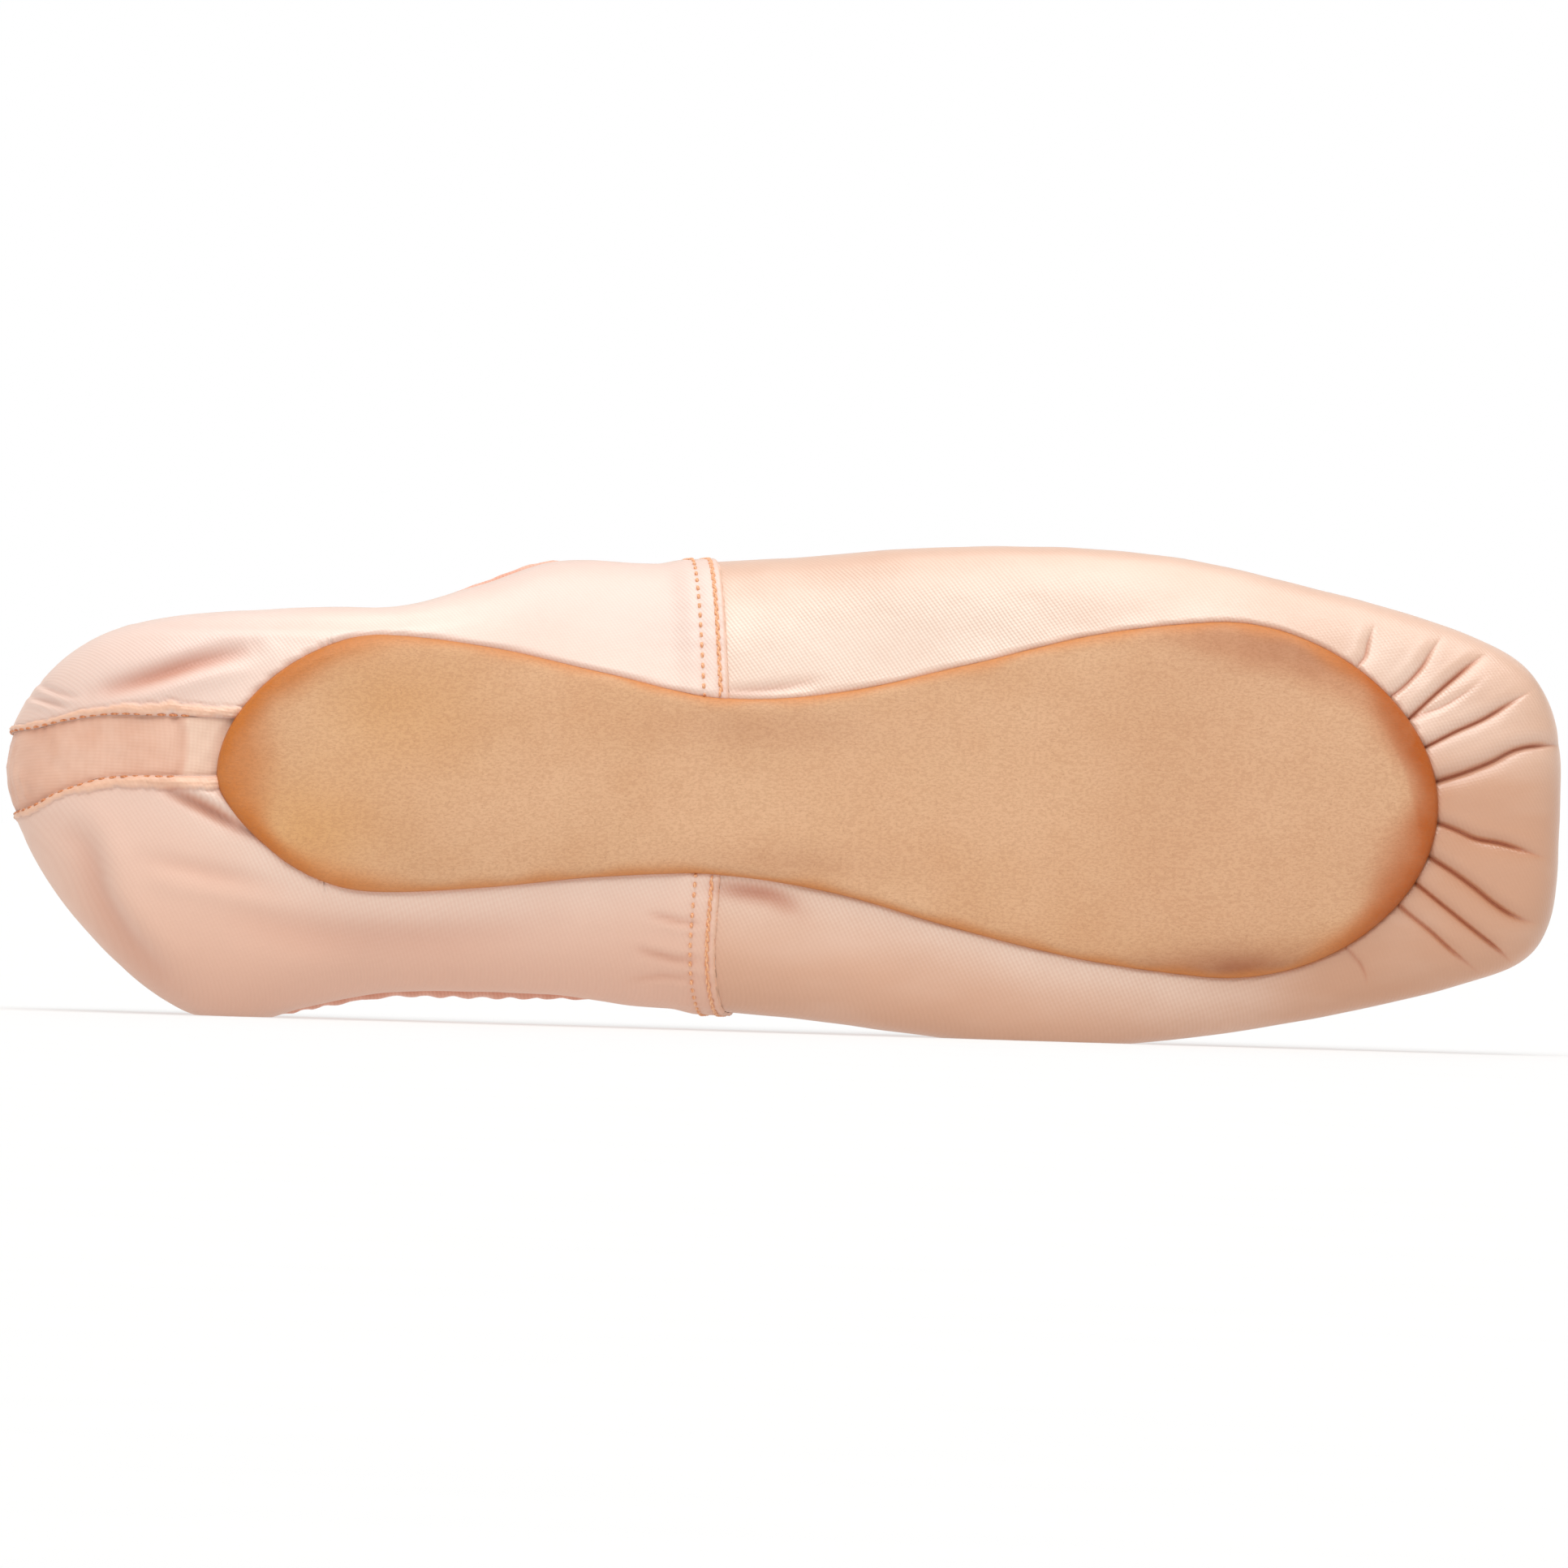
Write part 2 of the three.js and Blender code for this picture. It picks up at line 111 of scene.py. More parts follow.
SOLE = {
    "at":    (33, 45, 58, 75, 92, 110, 128, 148, 168, 188, 205, 221),
    "left":  (12, 16.3, 17.5, 16.3, 14.2, 13.3, 15.5, 20.6, 24.8, 26.9, 27.4, 27),
    "right": (19, 20.9, 22.1, 20.6, 17.3, 14, 15.3, 20.2, 25.5, 28.1, 28, 27),
}
GIRTHS = {
    "index": tuple(range(15)),
    "spine": (204, 204, 204, 203, 186, 166, 144, 120, 96, 74, 52, 31, 30, 30, 30),
    "turn":  (0, 32, 62, 90, 90, 90, 90, 90, 90, 90, 90, 90, 120, 150, 180),
    "along": (150, 149.7, 148.8, 146.8, 142.8, 135.5, 123, 107, 90, 72, 51, 31, 15, 6.5, 4),
    "out":   (0, 0.13, 0.27, 0.42, 0.57, 0.72, 0.83, 0.91, 0.95, 0.95, 0.94, 0.92, 0.84, 0.62, 0),
    "up":    (54, 53.9, 53.2, 52, 50, 47.3, 45, 43.4, 42.6, 43, 45, 48.5, 51.5, 53.8, 54.5),
}
HALF_TURN = 14  # the girth line down the middle of the heel
STRIP = {
    "angle": (112, 150, 180, 196, 211, 230, 258, 292),
    "right": (-4.2, -4.6, -5.2, -5.9, -7.3, -8.4, -8.5, -8.5),
    "left":  (8, 7.6, 7, 5.9, 3.2, 1, 0.5, 0.2),
}

# ---- Panels and trim that only show
SIDE_SEAM = {  # x of the quarters' folded front edges, by height: 1 at the widest line, 2 at the collar
    "height": (0.1, 0.25, 0.6, 0.95, 1.3, 2.0),
    "right":  (112.0, 111.5, 110.4, 109.0, 107.8, 106.5),
    "left":   (111.4, 111.0, 110.6, 112.4, 113.6, 112.5),
}
SEAM_LIFT = 0.55  # the folded edge stands this far over the vamp
SEAM_ROWS = (1.3, 3.9)  # stitch rows behind the folded edge
STITCH_PITCH = 1.65
THREAD = 0.24  # radius of the sewing thread
CHAIN_OVERLAP = 1.12  # the chain stitches' length, in pitches
SHOWN_MARGIN = 7.0  # how far the cloth runs in under the outsole here
SHOWN_FROM = 0.05  # and the height that the quarters start at
STRIP_DEPTH = 0.4  # the elastic lies this far below the quarters

# ---- Pleats: each runs from the outsole's edge outwards. A row gives the groove's depth and width, how far
# the cloth on the heel's side laps over it, the share of it that keeps its depth, and its path in plan.
PLEATS = (
    (0.7, 0.55, 0.25, 0.4, (208.0, -21.8), (209.1, -23.3), (209.6, -25.6), (210.6, -28.6)),
    (0.95, 0.6, 0.35, 0.45, (213.2, -17.2), (215.2, -18.9), (217.9, -22.0), (219.4, -24.6),
     (221.6, -27.6)),
    (1.5, 0.55, 0.4, 0.6, (215.2, -13.0), (217.3, -15.1), (220.0, -17.8), (223.2, -20.8), (226.6, -23.6),
     (229.3, -24.4)),
    (0.5, 1.1, 0.1, 0.3, (217.0, -14.3), (221.4, -16.1), (225.5, -18.9), (228.6, -21.7)),
    (1.5, 0.55, 0.4, 0.6, (217.4, -8.9), (219.8, -10.2), (223.2, -12.1), (227.4, -14.2), (231.5, -16.8),
     (235.8, -19.4)),
    (2.0, 0.72, 0.55, 0.8, (218.8, -3.9), (221.2, -4.6), (224.9, -5.9), (229.1, -7.7), (232.4, -9.5),
     (235.6, -10.4), (240.5, -10.7)),
    (1.6, 0.6, 0.4, 0.6, (219.2, 1.5), (221.4, 2.1), (224.0, 3.0), (226.9, 4.2), (230.7, 4.8),
     (234.2, 5.7), (238.6, 7.1)),
    (1.7, 0.62, 0.45, 0.7, (218.2, 6.1), (220.5, 7.6), (223.8, 9.6), (227.1, 11.9), (230.4, 14.4),
     (233.4, 16.1), (237.6, 17.2)),
    (1.3, 0.48, 0.3, 0.75, (216.8, 10.5), (218.9, 12.1), (222.4, 14.8), (227.2, 18.5), (230.6, 21.1),
     (233.8, 23.7)),
    (1.0, 0.5, 0.3, 0.55, (215.0, 14.4), (216.9, 16.0), (220.4, 18.7), (224.2, 22.0), (229.2, 25.6)),
    (0.55, 0.5, 0.2, 0.45, (207.2, 21.0), (208.7, 22.7), (209.9, 24.2), (210.7, 25.9), (211.0, 28.2)),
)
# ---- Creases of the soft quarters and the vamp's waist, on the underside. A row gives a crease's depth and
# width, the height of the swelling beside it (above 0 on the side of greater y, below 0 on the other), how much
# painted shade its groove gets, and its path in plan.
CREASES = (
    (1.5, 1.5, 0.6, 0.5, (38, -19.4), (30, -17.4), (22, -14.6), (13.5, -11.8)),
    (1.7, 1.0, -0.9, 0.45, (40, 9.6), (36.3, 7.9), (30.5, 5.0), (24.6, 2.4)),
    (1.3, 2.4, -0.8, 0.25, (8.5, 8.6), (12.6, 12.0), (15.2, 20.0), (20.5, 27.5), (27, 33.5)),
    (-0.5, 2.6, 0.0, 0.25, (3.5, 9.5), (9.0, 21.0), (17.5, 31.5)),
    (0.55, 1.6, 0.3, 0.25, (22, 13.2), (33, 15.4), (46, 17.6)),
    (0.9, 3.2, 0.3, 0.25, (34, 21.5), (50, 24.2), (68, 24.0), (84, 22.0)),
    (0.35, 0.8, 0.2, 0.25, (20, -22.6), (38, -22.9), (56, -23.2), (72, -25.5)),
    (0.5, 0.5, 0.3, 0.25, (3.4, -11.0), (6.0, -10.4), (9.4, -9.4)),
    (0.4, 0.5, 0.2, 0.25, (4.4, -13.2), (7.5, -11.9), (11.0, -11.0)),
    (0.9, 1.5, 0.0, 0.9, (109.5, 15.0), (115, 15.6), (119, 16.2), (123.5, 18.4)),
    (0.6, 0.8, 0.0, 0.6, (109.5, -14.8), (114, -15.0), (119, -15.6), (125, -16.8)),
    (0.45, 0.6, 0.2, 0.7, (100, 19.5), (104, 20.4), (108.4, 20.8)),
    (0.42, 0.6, -0.2, 0.8, (98, 25.0), (103, 26.2), (108.2, 26.4)),
    (0.32, 0.55, 0.2, 0.6, (97, 30.0), (103, 29.2), (108.6, 28.9)),
)


# ---- Tables, curves and noise
def between(table, key, place, column):
    """A column of a table at places between its rows, on a smooth curve through them."""
    keys = np.asarray(table[key], float)
    values = np.asarray(table[column], float)
    place = np.asarray(place, float)
    slopes = np.empty_like(values)
    slopes[1:-1] = (values[2:] - values[:-2]) / (keys[2:] - keys[:-2])
    slopes[0] = (values[1] - values[0]) / (keys[1] - keys[0])
    slopes[-1] = (values[-1] - values[-2]) / (keys[-1] - keys[-2])
    row = np.clip(np.searchsorted(keys, place, side="right") - 1, 0, len(keys) - 2)
    span = keys[row + 1] - keys[row]
    t = np.clip((place - keys[row]) / span, 0, 1)
    return (
        (2 * t**3 - 3 * t**2 + 1) * values[row]
        + (t**3 - 2 * t**2 + t) * slopes[row] * span
        + (3 * t**2 - 2 * t**3) * values[row + 1]
        + (t**3 - t**2) * slopes[row + 1] * span
    )


def smoothstep(value, low, high):
    t = np.clip((value - low) / (high - low), 0, 1)
    return t * t * (3 - 2 * t)


def rounded(share, power):
    """How much of its full size a form keeps near a rounded end."""
    share = np.clip(share, 0, 1)
    return np.maximum((1 - share**power) ** (1 / power), LEAST_ROUND)



def hump(x, middle, width):
    """1 in the middle, fading to nothing on both sides."""
    return np.exp(-(((x - middle) / width) ** 2))


def spot(x, y, at_x, at_y, long, wide):
    """The same in plan, round a point."""
    return np.exp(-(((x - at_x) / long) ** 2) - ((y - at_y) / wide) ** 2)


def quarter_round(share):
    """Rises from 0 to 1 as a quarter of a circle does."""
    return np.sqrt(np.clip(1 - (1 - np.clip(share, 0, 1)) ** 2, 0, 1))


def lengths(points, axis=0):
    """Distance along lines of points, from the first point of each."""
    steps = np.linalg.norm(np.diff(points, axis=axis), axis=-1)
    start = np.zeros_like(np.take(steps, [0], axis=axis))
    return np.concatenate([start, np.cumsum(steps, axis=axis)], axis=axis)


def unit(v):
    return v / np.linalg.norm(v, axis=-1, keepdims=True)


def curve_through(points, count):
    """count points, evenly spaced on a smooth curve through a few."""
    points = np.asarray(points, float)
    steps = lengths(points)
    table = {"s": steps, **{str(k): points[:, k] for k in range(points.shape[1])}}
    fine = np.linspace(0, steps[-1], count)
    return np.stack([between(table, "s", fine, str(k)) for k in range(points.shape[1])], axis=-1)


def ripple(points, size, seed):
    """Gentle unevenness between about -1 and 1, of a given size in millimetres."""
    rng = np.random.default_rng(seed)
    total = np.zeros(points.shape[:-1])
    waves = 7
    for _ in range(waves):
        direction = rng.normal(size=3)
        direction *= rng.uniform(0.6, 1.5) * 2 * math.pi / size / np.linalg.norm(direction)
        total += np.sin(points @ direction + rng.uniform(0, 2 * math.pi))
    return total / math.sqrt(waves)


def flat_ripple(x, y, size, seed):
    return ripple(np.stack([x, y, 0 * x], -1), size, seed)


def farthest(held, most, steps):
    """The greatest distances, up to most, at which a test still holds."""
    near, far = np.zeros_like(most), most
    for _ in range(steps):
        middle = (near + far) / 2
        true = held(middle)
        near, far = np.where(true, middle, near), np.where(true, far, middle)
    return near


# ---- The last
SECTION_STEP = 0.05
_x = np.arange(0, LENGTH + SECTION_STEP, SECTION_STEP)
_heel = rounded((HEEL_ROUND - _x) / HEEL_ROUND, 2)
_toe = [rounded((_x - (LENGTH - TOE_ROUND)) / TOE_ROUND, power) for power in (TOE_POWER, TOE_LEFT_POWER)]
_close = _heel * _toe[0]
_columns = {name: between(LAST, "at", _x / LENGTH, name) for name in LAST if name != "at"}
_columns["left"] = _columns["left"] * BALL_HALF * _heel * _toe[1]
_columns["right"] = _columns["right"] * BALL_HALF * _close
_columns["widest"] = _columns["widest"] * INSTEP
_columns["under"] = (_columns["widest"] - _columns["under"] * INSTEP) * _close
_columns["over"] = (_columns["ridge"] * INSTEP - _columns["widest"]) * _close


def section(x, column):
    return np.interp(x, _x, _columns[column])


def level(p):
    """Below 1 inside the last, 1 on its surface."""
    x, y, z = p[..., 0], p[..., 1], p[..., 2]
    left, widest = y > 0, section(x, "widest")
    half = np.where(left, section(x, "left"), section(x, "right"))
    low = np.where(left, section(x, "leftLow"), section(x, "rightLow"))
    above = z > widest
    high = np.where(left, section(x, "leftHigh"), section(x, "rightHigh"))
    power = np.where(above, high, low)
    rise = np.where(above, (z - widest) / section(x, "over"), (widest - z) / section(x, "under"))
    past = np.maximum(np.maximum(x - LENGTH, -x), 0)
    return (np.abs(y) / half) ** power + rise**power + past / END_CREEP


def outward(p):
    """The outward direction of the last's surface."""
    h = 0.05
    slope = []
    for axis in range(3):
        step = np.zeros(3)
        step[axis] = h
        slope.append(level(p + step) - level(p - step))
    normal = np.stack(slope, axis=-1)
    return normal / np.maximum(np.linalg.norm(normal, axis=-1, keepdims=True), 1e-9)


def underside(x, y):
    left = y > 0
    half = np.where(left, section(x, "left"), section(x, "right"))
    power = np.where(left, section(x, "leftLow"), section(x, "rightLow"))
    share = np.clip(np.abs(y) / half, 0, 1)
    return section(x, "widest") - section(x, "under") * (1 - share**power) ** (1 / power)


def sole_half(x, side, inset=0.0):
    """The outsole's half width on one side, drawn in by inset all round."""
    heel, toe = SOLE_HEEL + inset, SOLE_TOE - inset
    row = np.where(side > 0, between(SOLE, "at", x, "left"), between(SOLE, "at", x, "right"))
    close = rounded((heel + SOLE_HEEL_ROUND - x) / SOLE_HEEL_ROUND, 2)
    close = close * rounded((x - (toe - SOLE_TOE_ROUND)) / SOLE_TOE_ROUND, 2)
    return np.maximum(row - inset, 0) * close


def reach(inside, start, direction, most):
    """How far along a direction a test stays true."""
    most = np.full(start.shape[:-1], float(most))
    return farthest(lambda distance: inside(start + direction * distance[..., None]), most, 26)


def even(points, count):
    """Each line of points again, evenly spaced along its length; also the lengths."""
    along = lengths(points, axis=1)
    out = np.empty((len(points), count, 3))
    for i in range(len(points)):
        places = np.linspace(0, along[i, -1], count)
        for k in range(3):
            out[i, :, k] = np.interp(places, along[i], points[i, :, k])
    return out, along[:, -1]


LINES_PER_ROW = 36
LOW_STEPS = 48
HIGH_STEPS = 64
RAYS = 44


def sweep(start, first, last):
    """Points on the last, seen from one point inside it, from one direction round to another."""
    angle = np.arccos(np.clip((first * last).sum(-1, keepdims=True), -1, 1))[:, None, :]
    t = np.linspace(0, 1, RAYS + 1)[None, :, None]
    direction = np.sin((1 - t) * angle) * first[:, None, :] + np.sin(t * angle) * last[:, None, :]
    direction /= np.linalg.norm(direction, axis=-1, keepdims=True)
    origin = np.broadcast_to(start[:, None, :], direction.shape)
    return origin + direction * reach(lambda p: level(p) < 1, origin, direction, LENGTH)[..., None]


FAN_IN = 8.0  # the girth lines at the heel spread from this far inside the opening


def girth_lines(side):
    """Lines on the last from the opening underneath to the collar, and the lengths of their lower parts."""
    index = np.arange(HALF_TURN * LINES_PER_ROW + 1) / LINES_PER_ROW
    row = {name: between(GIRTHS, "index", index, name) for name in GIRTHS if name != "index"}
    turn = np.radians(row["turn"])
    zero = np.zeros_like(turn)
    widest = np.stack([np.cos(turn), side * np.sin(turn), zero], axis=-1)
    start = np.stack([row["spine"], zero, section(row["spine"], "widest")], axis=-1)
    centre = np.stack([np.maximum(row["spine"], SOLE_HEEL + LASTED_MARGIN + FAN_IN), zero, zero], axis=-1)

    def opening(p):
        inside = (p[:, 0] > SOLE_HEEL + LASTED_MARGIN) & (p[:, 0] < SOLE_TOE - LASTED_MARGIN)
        return inside & (np.abs(p[:, 1]) < sole_half(p[:, 0], side, LASTED_MARGIN))

    edge = centre + widest * reach(opening, centre, widest, LENGTH)[:, None]
    edge[:, 2] = underside(edge[:, 0], edge[:, 1])
    half = section(row["along"], SIDES[side])
    collar = np.stack([row["along"], side * row["out"] * half, row["up"]], axis=-1)
    low, low_length = even(sweep(start, unit(edge - start), widest), LOW_STEPS + 1)
    high = even(sweep(start, widest, unit(collar - start)), HIGH_STEPS + 1)[0]
    return np.concatenate([low, high[:, 1:]], axis=1), low_length


left_lines, left_lengths = girth_lines(1)
right_lines, right_lengths = girth_lines(-1)
# Girth lines all the way round: 0 at the middle of the toe, 14 at the heel, 28 at the toe again.
SKIN = np.concatenate([left_lines, right_lines[-2::-1]])
LOW_LENGTH = np.concatenate([left_lengths, right_lengths[-2::-1]])
ALL_ROUND = 2 * HALF_TURN


def girth_value(values, place):
    position = np.mod(place, ALL_ROUND) * LINES_PER_ROW
    low = np.minimum(position.astype(int), len(values) - 2)
    t = position - low
    return values[low] * (1 - t) + values[low + 1] * t


def surface(place, height):
    """The last's surface: place counts girth lines, and height is 0 at the opening underneath, 1 at the
    widest line and 2 at the collar."""
    place, height = np.broadcast_arrays(np.asarray(place, float), np.asarray(height, float))
    i = np.mod(place, ALL_ROUND) * LINES_PER_ROW
    j = np.where(height < 1, height * LOW_STEPS, LOW_STEPS + (height - 1) * HIGH_STEPS)
    i0 = np.clip(i.astype(int), 0, SKIN.shape[0] - 2)
    j0 = np.clip(j.astype(int), 0, SKIN.shape[1] - 2)
    a, b = (i - i0)[..., None], (j - j0)[..., None]
    return (
        SKIN[i0, j0] * (1 - a) * (1 - b)
        + SKIN[i0 + 1, j0] * a * (1 - b)
        + SKIN[i0, j0 + 1] * (1 - a) * b
        + SKIN[i0 + 1, j0 + 1] * a * b
    )


def wall_at(x):
    return QUARTER_WALL + (BOX_WALL - QUARTER_WALL) * smoothstep(x, BOX_BACK, BOX_FRONT)


def sole_gap(x, y):
    """About how far a place in plan lies outside the outsole's edge."""
    spine = np.clip(x, SOLE_HEEL + 16, SOLE_TOE - 26)
    dx = x - spine
    length = np.maximum(np.hypot(dx, y), 1e-6)

    def held(distance):
        px, py = spine + dx / length * distance, y / length * distance
        return (px > SOLE_HEEL) & (px < SOLE_TOE) & (np.abs(py) < sole_half(px, py))

    return length - farthest(held, np.full_like(length, SOLE_REACH), 18)


def along_path(xy, path, margin):
    """Points near a path in plan: which they are, how far to its left each lies, and its share along it."""
    line = curve_through(path, 48)
    near = (xy[:, 0] > line[:, 0].min() - margin) & (xy[:, 0] < line[:, 0].max() + margin)
    near &= (xy[:, 1] > line[:, 1].min() - margin) & (xy[:, 1] < line[:, 1].max() + margin)
    chosen = np.flatnonzero(near)
    points = xy[chosen]
    best = np.full(len(points), 1e9)
    side = np.zeros(len(points))
    share = np.zeros(len(points))
    for k in range(len(line) - 1):
        a, d = line[k], line[k + 1] - line[k]
        t = np.clip(((points - a) @ d) / (d @ d), 0, 1)
        off = points - a - t[:, None] * d
        distance = np.hypot(off[:, 0], off[:, 1])
        closer = distance < best
        best = np.where(closer, distance, best)
        side = np.where(closer, np.sign(d[0] * off[:, 1] - d[1] * off[:, 0]), side)
        share = np.where(closer, (k + t) / (len(line) - 1), share)
    return chosen, best * side, share


PLEAT_SOFT = 0.07  # rounds the bottom of a pleat
PLEAT_REACH = 9.0
PLEAT_LINE = 0.17  # half width of the dark line at its bottom
SAG_HEIGHT = 8.0  # creases fade out this far above the widest line


def folded_relief(p):
    """How far pleats and creases lift the cloth, and how much painted shade their grooves get."""
    flat = p.reshape(-1, 3)
    lift = np.zeros(len(flat))
    shade = np.zeros(len(flat))
    below = 1 - smoothstep(flat[:, 2] - section(flat[:, 0], "widest"), 0, SAG_HEIGHT)
    lower = np.flatnonzero(below > 0)
    xy = flat[lower, :2]
    for depth, width, lap, hold, *path in PLEATS:
        chosen, off, share = along_path(xy, path, PLEAT_REACH)
        keep = 1 - smoothstep(share, hold, 1.0)
        away = np.sqrt(off**2 + PLEAT_SOFT**2) - PLEAT_SOFT
        groove = 0.6 * np.exp(-away / (2.4 * width)) + 0.4 * hump(off, 0, 0.55 * width)
        lapped = hump(off, -2.6 * width, 1.9 * width)
        lift[lower[chosen]] += keep * (0.45 * lap * lapped - depth * groove)
        # Painted shade: a dark line at the pleat's bottom and a softer band beside it.
        dark = hump(off, 0, PLEAT_LINE) + 0.35 * np.exp(-np.abs(off) / 0.5)
        shade[lower[chosen]] += keep * dark * min(1, depth / 1.3)
    for depth, width, ridge, tint, *path in CREASES:
        chosen, off, share = along_path(xy, path, 4 * width + 3)
        keep = np.sin(np.pi * np.clip(share, 0.02, 0.98)) ** 0.6
        up = np.where(np.sign(off) * np.sign(path[-1][0] - path[0][0]) > 0, 1, -1)
        beside = hump(np.abs(off), 1.9 * width, width) * np.where(up * np.sign(ridge or 1) > 0, 1, 0)
        groove = hump(off, 0, width)
        lift[lower[chosen]] += keep * (abs(ridge) * beside - depth * groove)
        # Painted shade in the crease's groove.
        shade[lower[chosen]] += tint * keep * max(depth, 0) * groove
    lift *= below
    return lift.reshape(p.shape[:-1]), np.clip(shade * below, 0, 1).reshape(p.shape[:-1])


TUCKED = 0.2  # how far the cloth swells up to the outsole's edge
BULGE = 1.0  # and just beside it
BULGE_REACH = 4.5
# LIT_REACH is how far out the painted highlight beside the outsole reaches.
LIT_REACH = 6.5  # how far out the cloth catches the light there
FLARE_FADE = 14.0
FLARES = (  # where the collar is slack, how far its edge turns out, and how far the wall below it sinks in
    dict(side=1, start=40.0, end=98.0, out=0.1, sink=1.7),
    dict(side=-1, start=52.0, end=94.0, out=0.6, sink=0.0),
)


def slackness(base, height):
    """How far the slack wall stands out from the last."""
    height = np.broadcast_to(height, base.shape[:-1])
    rise = smoothstep(height, 1.7, 1.98)
    sink = smoothstep(height, 0.75, 1.15) * (1 - rise)
    slack = np.zeros(height.shape)
    for flare in FLARES:
        along = smoothstep(base[..., 0], flare["start"], flare["start"] + FLARE_FADE)
        along *= 1 - smoothstep(base[..., 0], flare["end"] - FLARE_FADE, flare["end"])
        side = (np.sign(base[..., 1]) == flare["side"]) * along
        slack += side * (flare["out"] * rise - flare["sink"] * sink)
    return slack


def cloth(place, height):
    """Points on the cloth's outside, with its folds, and the painted shade of each; then the smooth wall's
    point and outward direction there, and how much painted highlight the point gets beside the outsole."""
    base = surface(place, height)
    normal = outward(base)
    lift, shade = folded_relief(base)
    gap = sole_gap(base[..., 0], base[..., 1])
    under = 1 - smoothstep(base[..., 2] - section(base[..., 0], "widest"), -6.0, 0.0)
    swell = TUCKED * smoothstep(gap, -2.5, -0.4) + (BULGE - TUCKED) * smoothstep(gap, -0.4, 0.15)
    lift += under * swell * np.exp(-np.maximum(gap, 0) / BULGE_REACH)
    # Painted shade along the outsole's edge.
    shade += under * 0.12 * hump(gap, 0, 0.4)
    lift += 0.10 * ripple(base, 26.0, 3) + 0.03 * ripple(base, 9.0, 5)
    # A painted highlight on the cloth beside the outsole.
    lit = under * smoothstep(gap, -1, 0) * hump(gap, 0, LIT_REACH)
    base = base + normal * slackness(base, height)[..., None]
    points = base + normal * lift[..., None]
    points[..., 1] = np.minimum(points[..., 1], PRESSED_SIDE)
    return points, np.clip(shade, 0, 1), base, normal, lit


# ---- From standing to lying, and meshes
MIDDLE_X = LENGTH / 2


def lay(points):
    """Standing millimetres to the frame's metres."""
    points = np.asarray(points, float)
    x = points[..., 0] - MIDDLE_X
    y = points[..., 2] - FLOOR_TO_MIDDLE
    z = PRESSED_SIDE - points[..., 1]
    return np.stack([x, y, z], axis=-1) * MM


def quads(index, order="abcd"):
    """Faces between the neighbours in a grid of point numbers, each with its corners in an order."""
    corners = {"a": index[:-1, :-1], "b": index[1:, :-1], "c": index[1:, 1:], "d": index[:-1, 1:]}
    return np.stack([corners[corner] for corner in order], axis=-1).reshape(-1, 4)


def build(name, points, faces, materials, attributes=None, material_index=None):
    """A smooth mesh object."""
    data = bpy.data.meshes.new(name)
    data.from_pydata(lay(points).reshape(-1, 3).tolist(), [], [list(map(int, f)) for f in faces])
    for material in materials:
        data.materials.append(material)
    for key, values in (attributes or {}).items():
        layer = data.attributes.new(key, "FLOAT", "POINT")
        layer.data.foreach_set("value", np.asarray(values, np.float32).ravel())
    if material_index is not None:
        data.polygons.foreach_set("material_index", np.asarray(material_index, np.int32))
    data.polygons.foreach_set("use_smooth", np.ones(len(data.polygons), bool))
    data.update()
    data.validate()
    piece = bpy.data.objects.new(name, data)
    bpy.context.scene.collection.objects.link(piece)
    return piece


def shell(outer, inner, steps):
    """Points and faces of a closed wall, from two grids of the same size: a fine outside, an inside that
    keeps one line in every few, and the edges between. Also each face's material, and the lines kept."""
    rows, columns = outer.shape[:2]
    keep_i = np.unique(np.round(np.linspace(0, rows - 1, max(2, rows // steps[0]))).astype(int))
    keep_j = np.unique(np.round(np.linspace(0, columns - 1, max(2, columns // steps[1]))).astype(int))
    inside = inner[np.ix_(keep_i, keep_j)]
    base = rows * columns
    fine = np.arange(base).reshape(rows, columns)
    coarse = base + np.arange(inside.shape[0] * inside.shape[1]).reshape(inside.shape[:2])
    faces = [tuple(f) for f in quads(fine)]
    lining = [tuple(f) for f in quads(coarse, "dcba")]

    def rim(outside, within, keep, flip):
        found = []
        for k in range(len(keep) - 1):
            low, high = keep[k], keep[k + 1]
            middle = (low + high) // 2
            found += [(within[k], outside[i + 1], outside[i]) for i in range(low, middle)]
            found.append((within[k], within[k + 1], outside[middle]))
            found += [(within[k + 1], outside[i + 1], outside[i]) for i in range(middle, high)]
        return [f[::-1] for f in found] if flip else found

    edges = rim(fine[:, 0], coarse[:, 0], keep_i, True)
    edges += rim(fine[:, -1], coarse[:, -1], keep_i, False)
    edges += rim(fine[0], coarse[0], keep_j, False)
    edges += rim(fine[-1], coarse[-1], keep_j, True)
    points = np.concatenate([outer.reshape(-1, 3), inside.reshape(-1, 3)])
    index = [0] * len(faces) + [1] * len(lining) + [0] * len(edges)
    return points, faces + lining + edges, index, (keep_i, keep_j)


# ---- Materials
def tone(red, green, blue):
    """An sRGB colour out of 255 as a shader's linear one."""
    linear = [((c / 255 + 0.055) / 1.055) ** 2.4 if c > 10 else c / 255 / 12.92 for c in (red, green, blue)]
    return (*linear, 1.0)


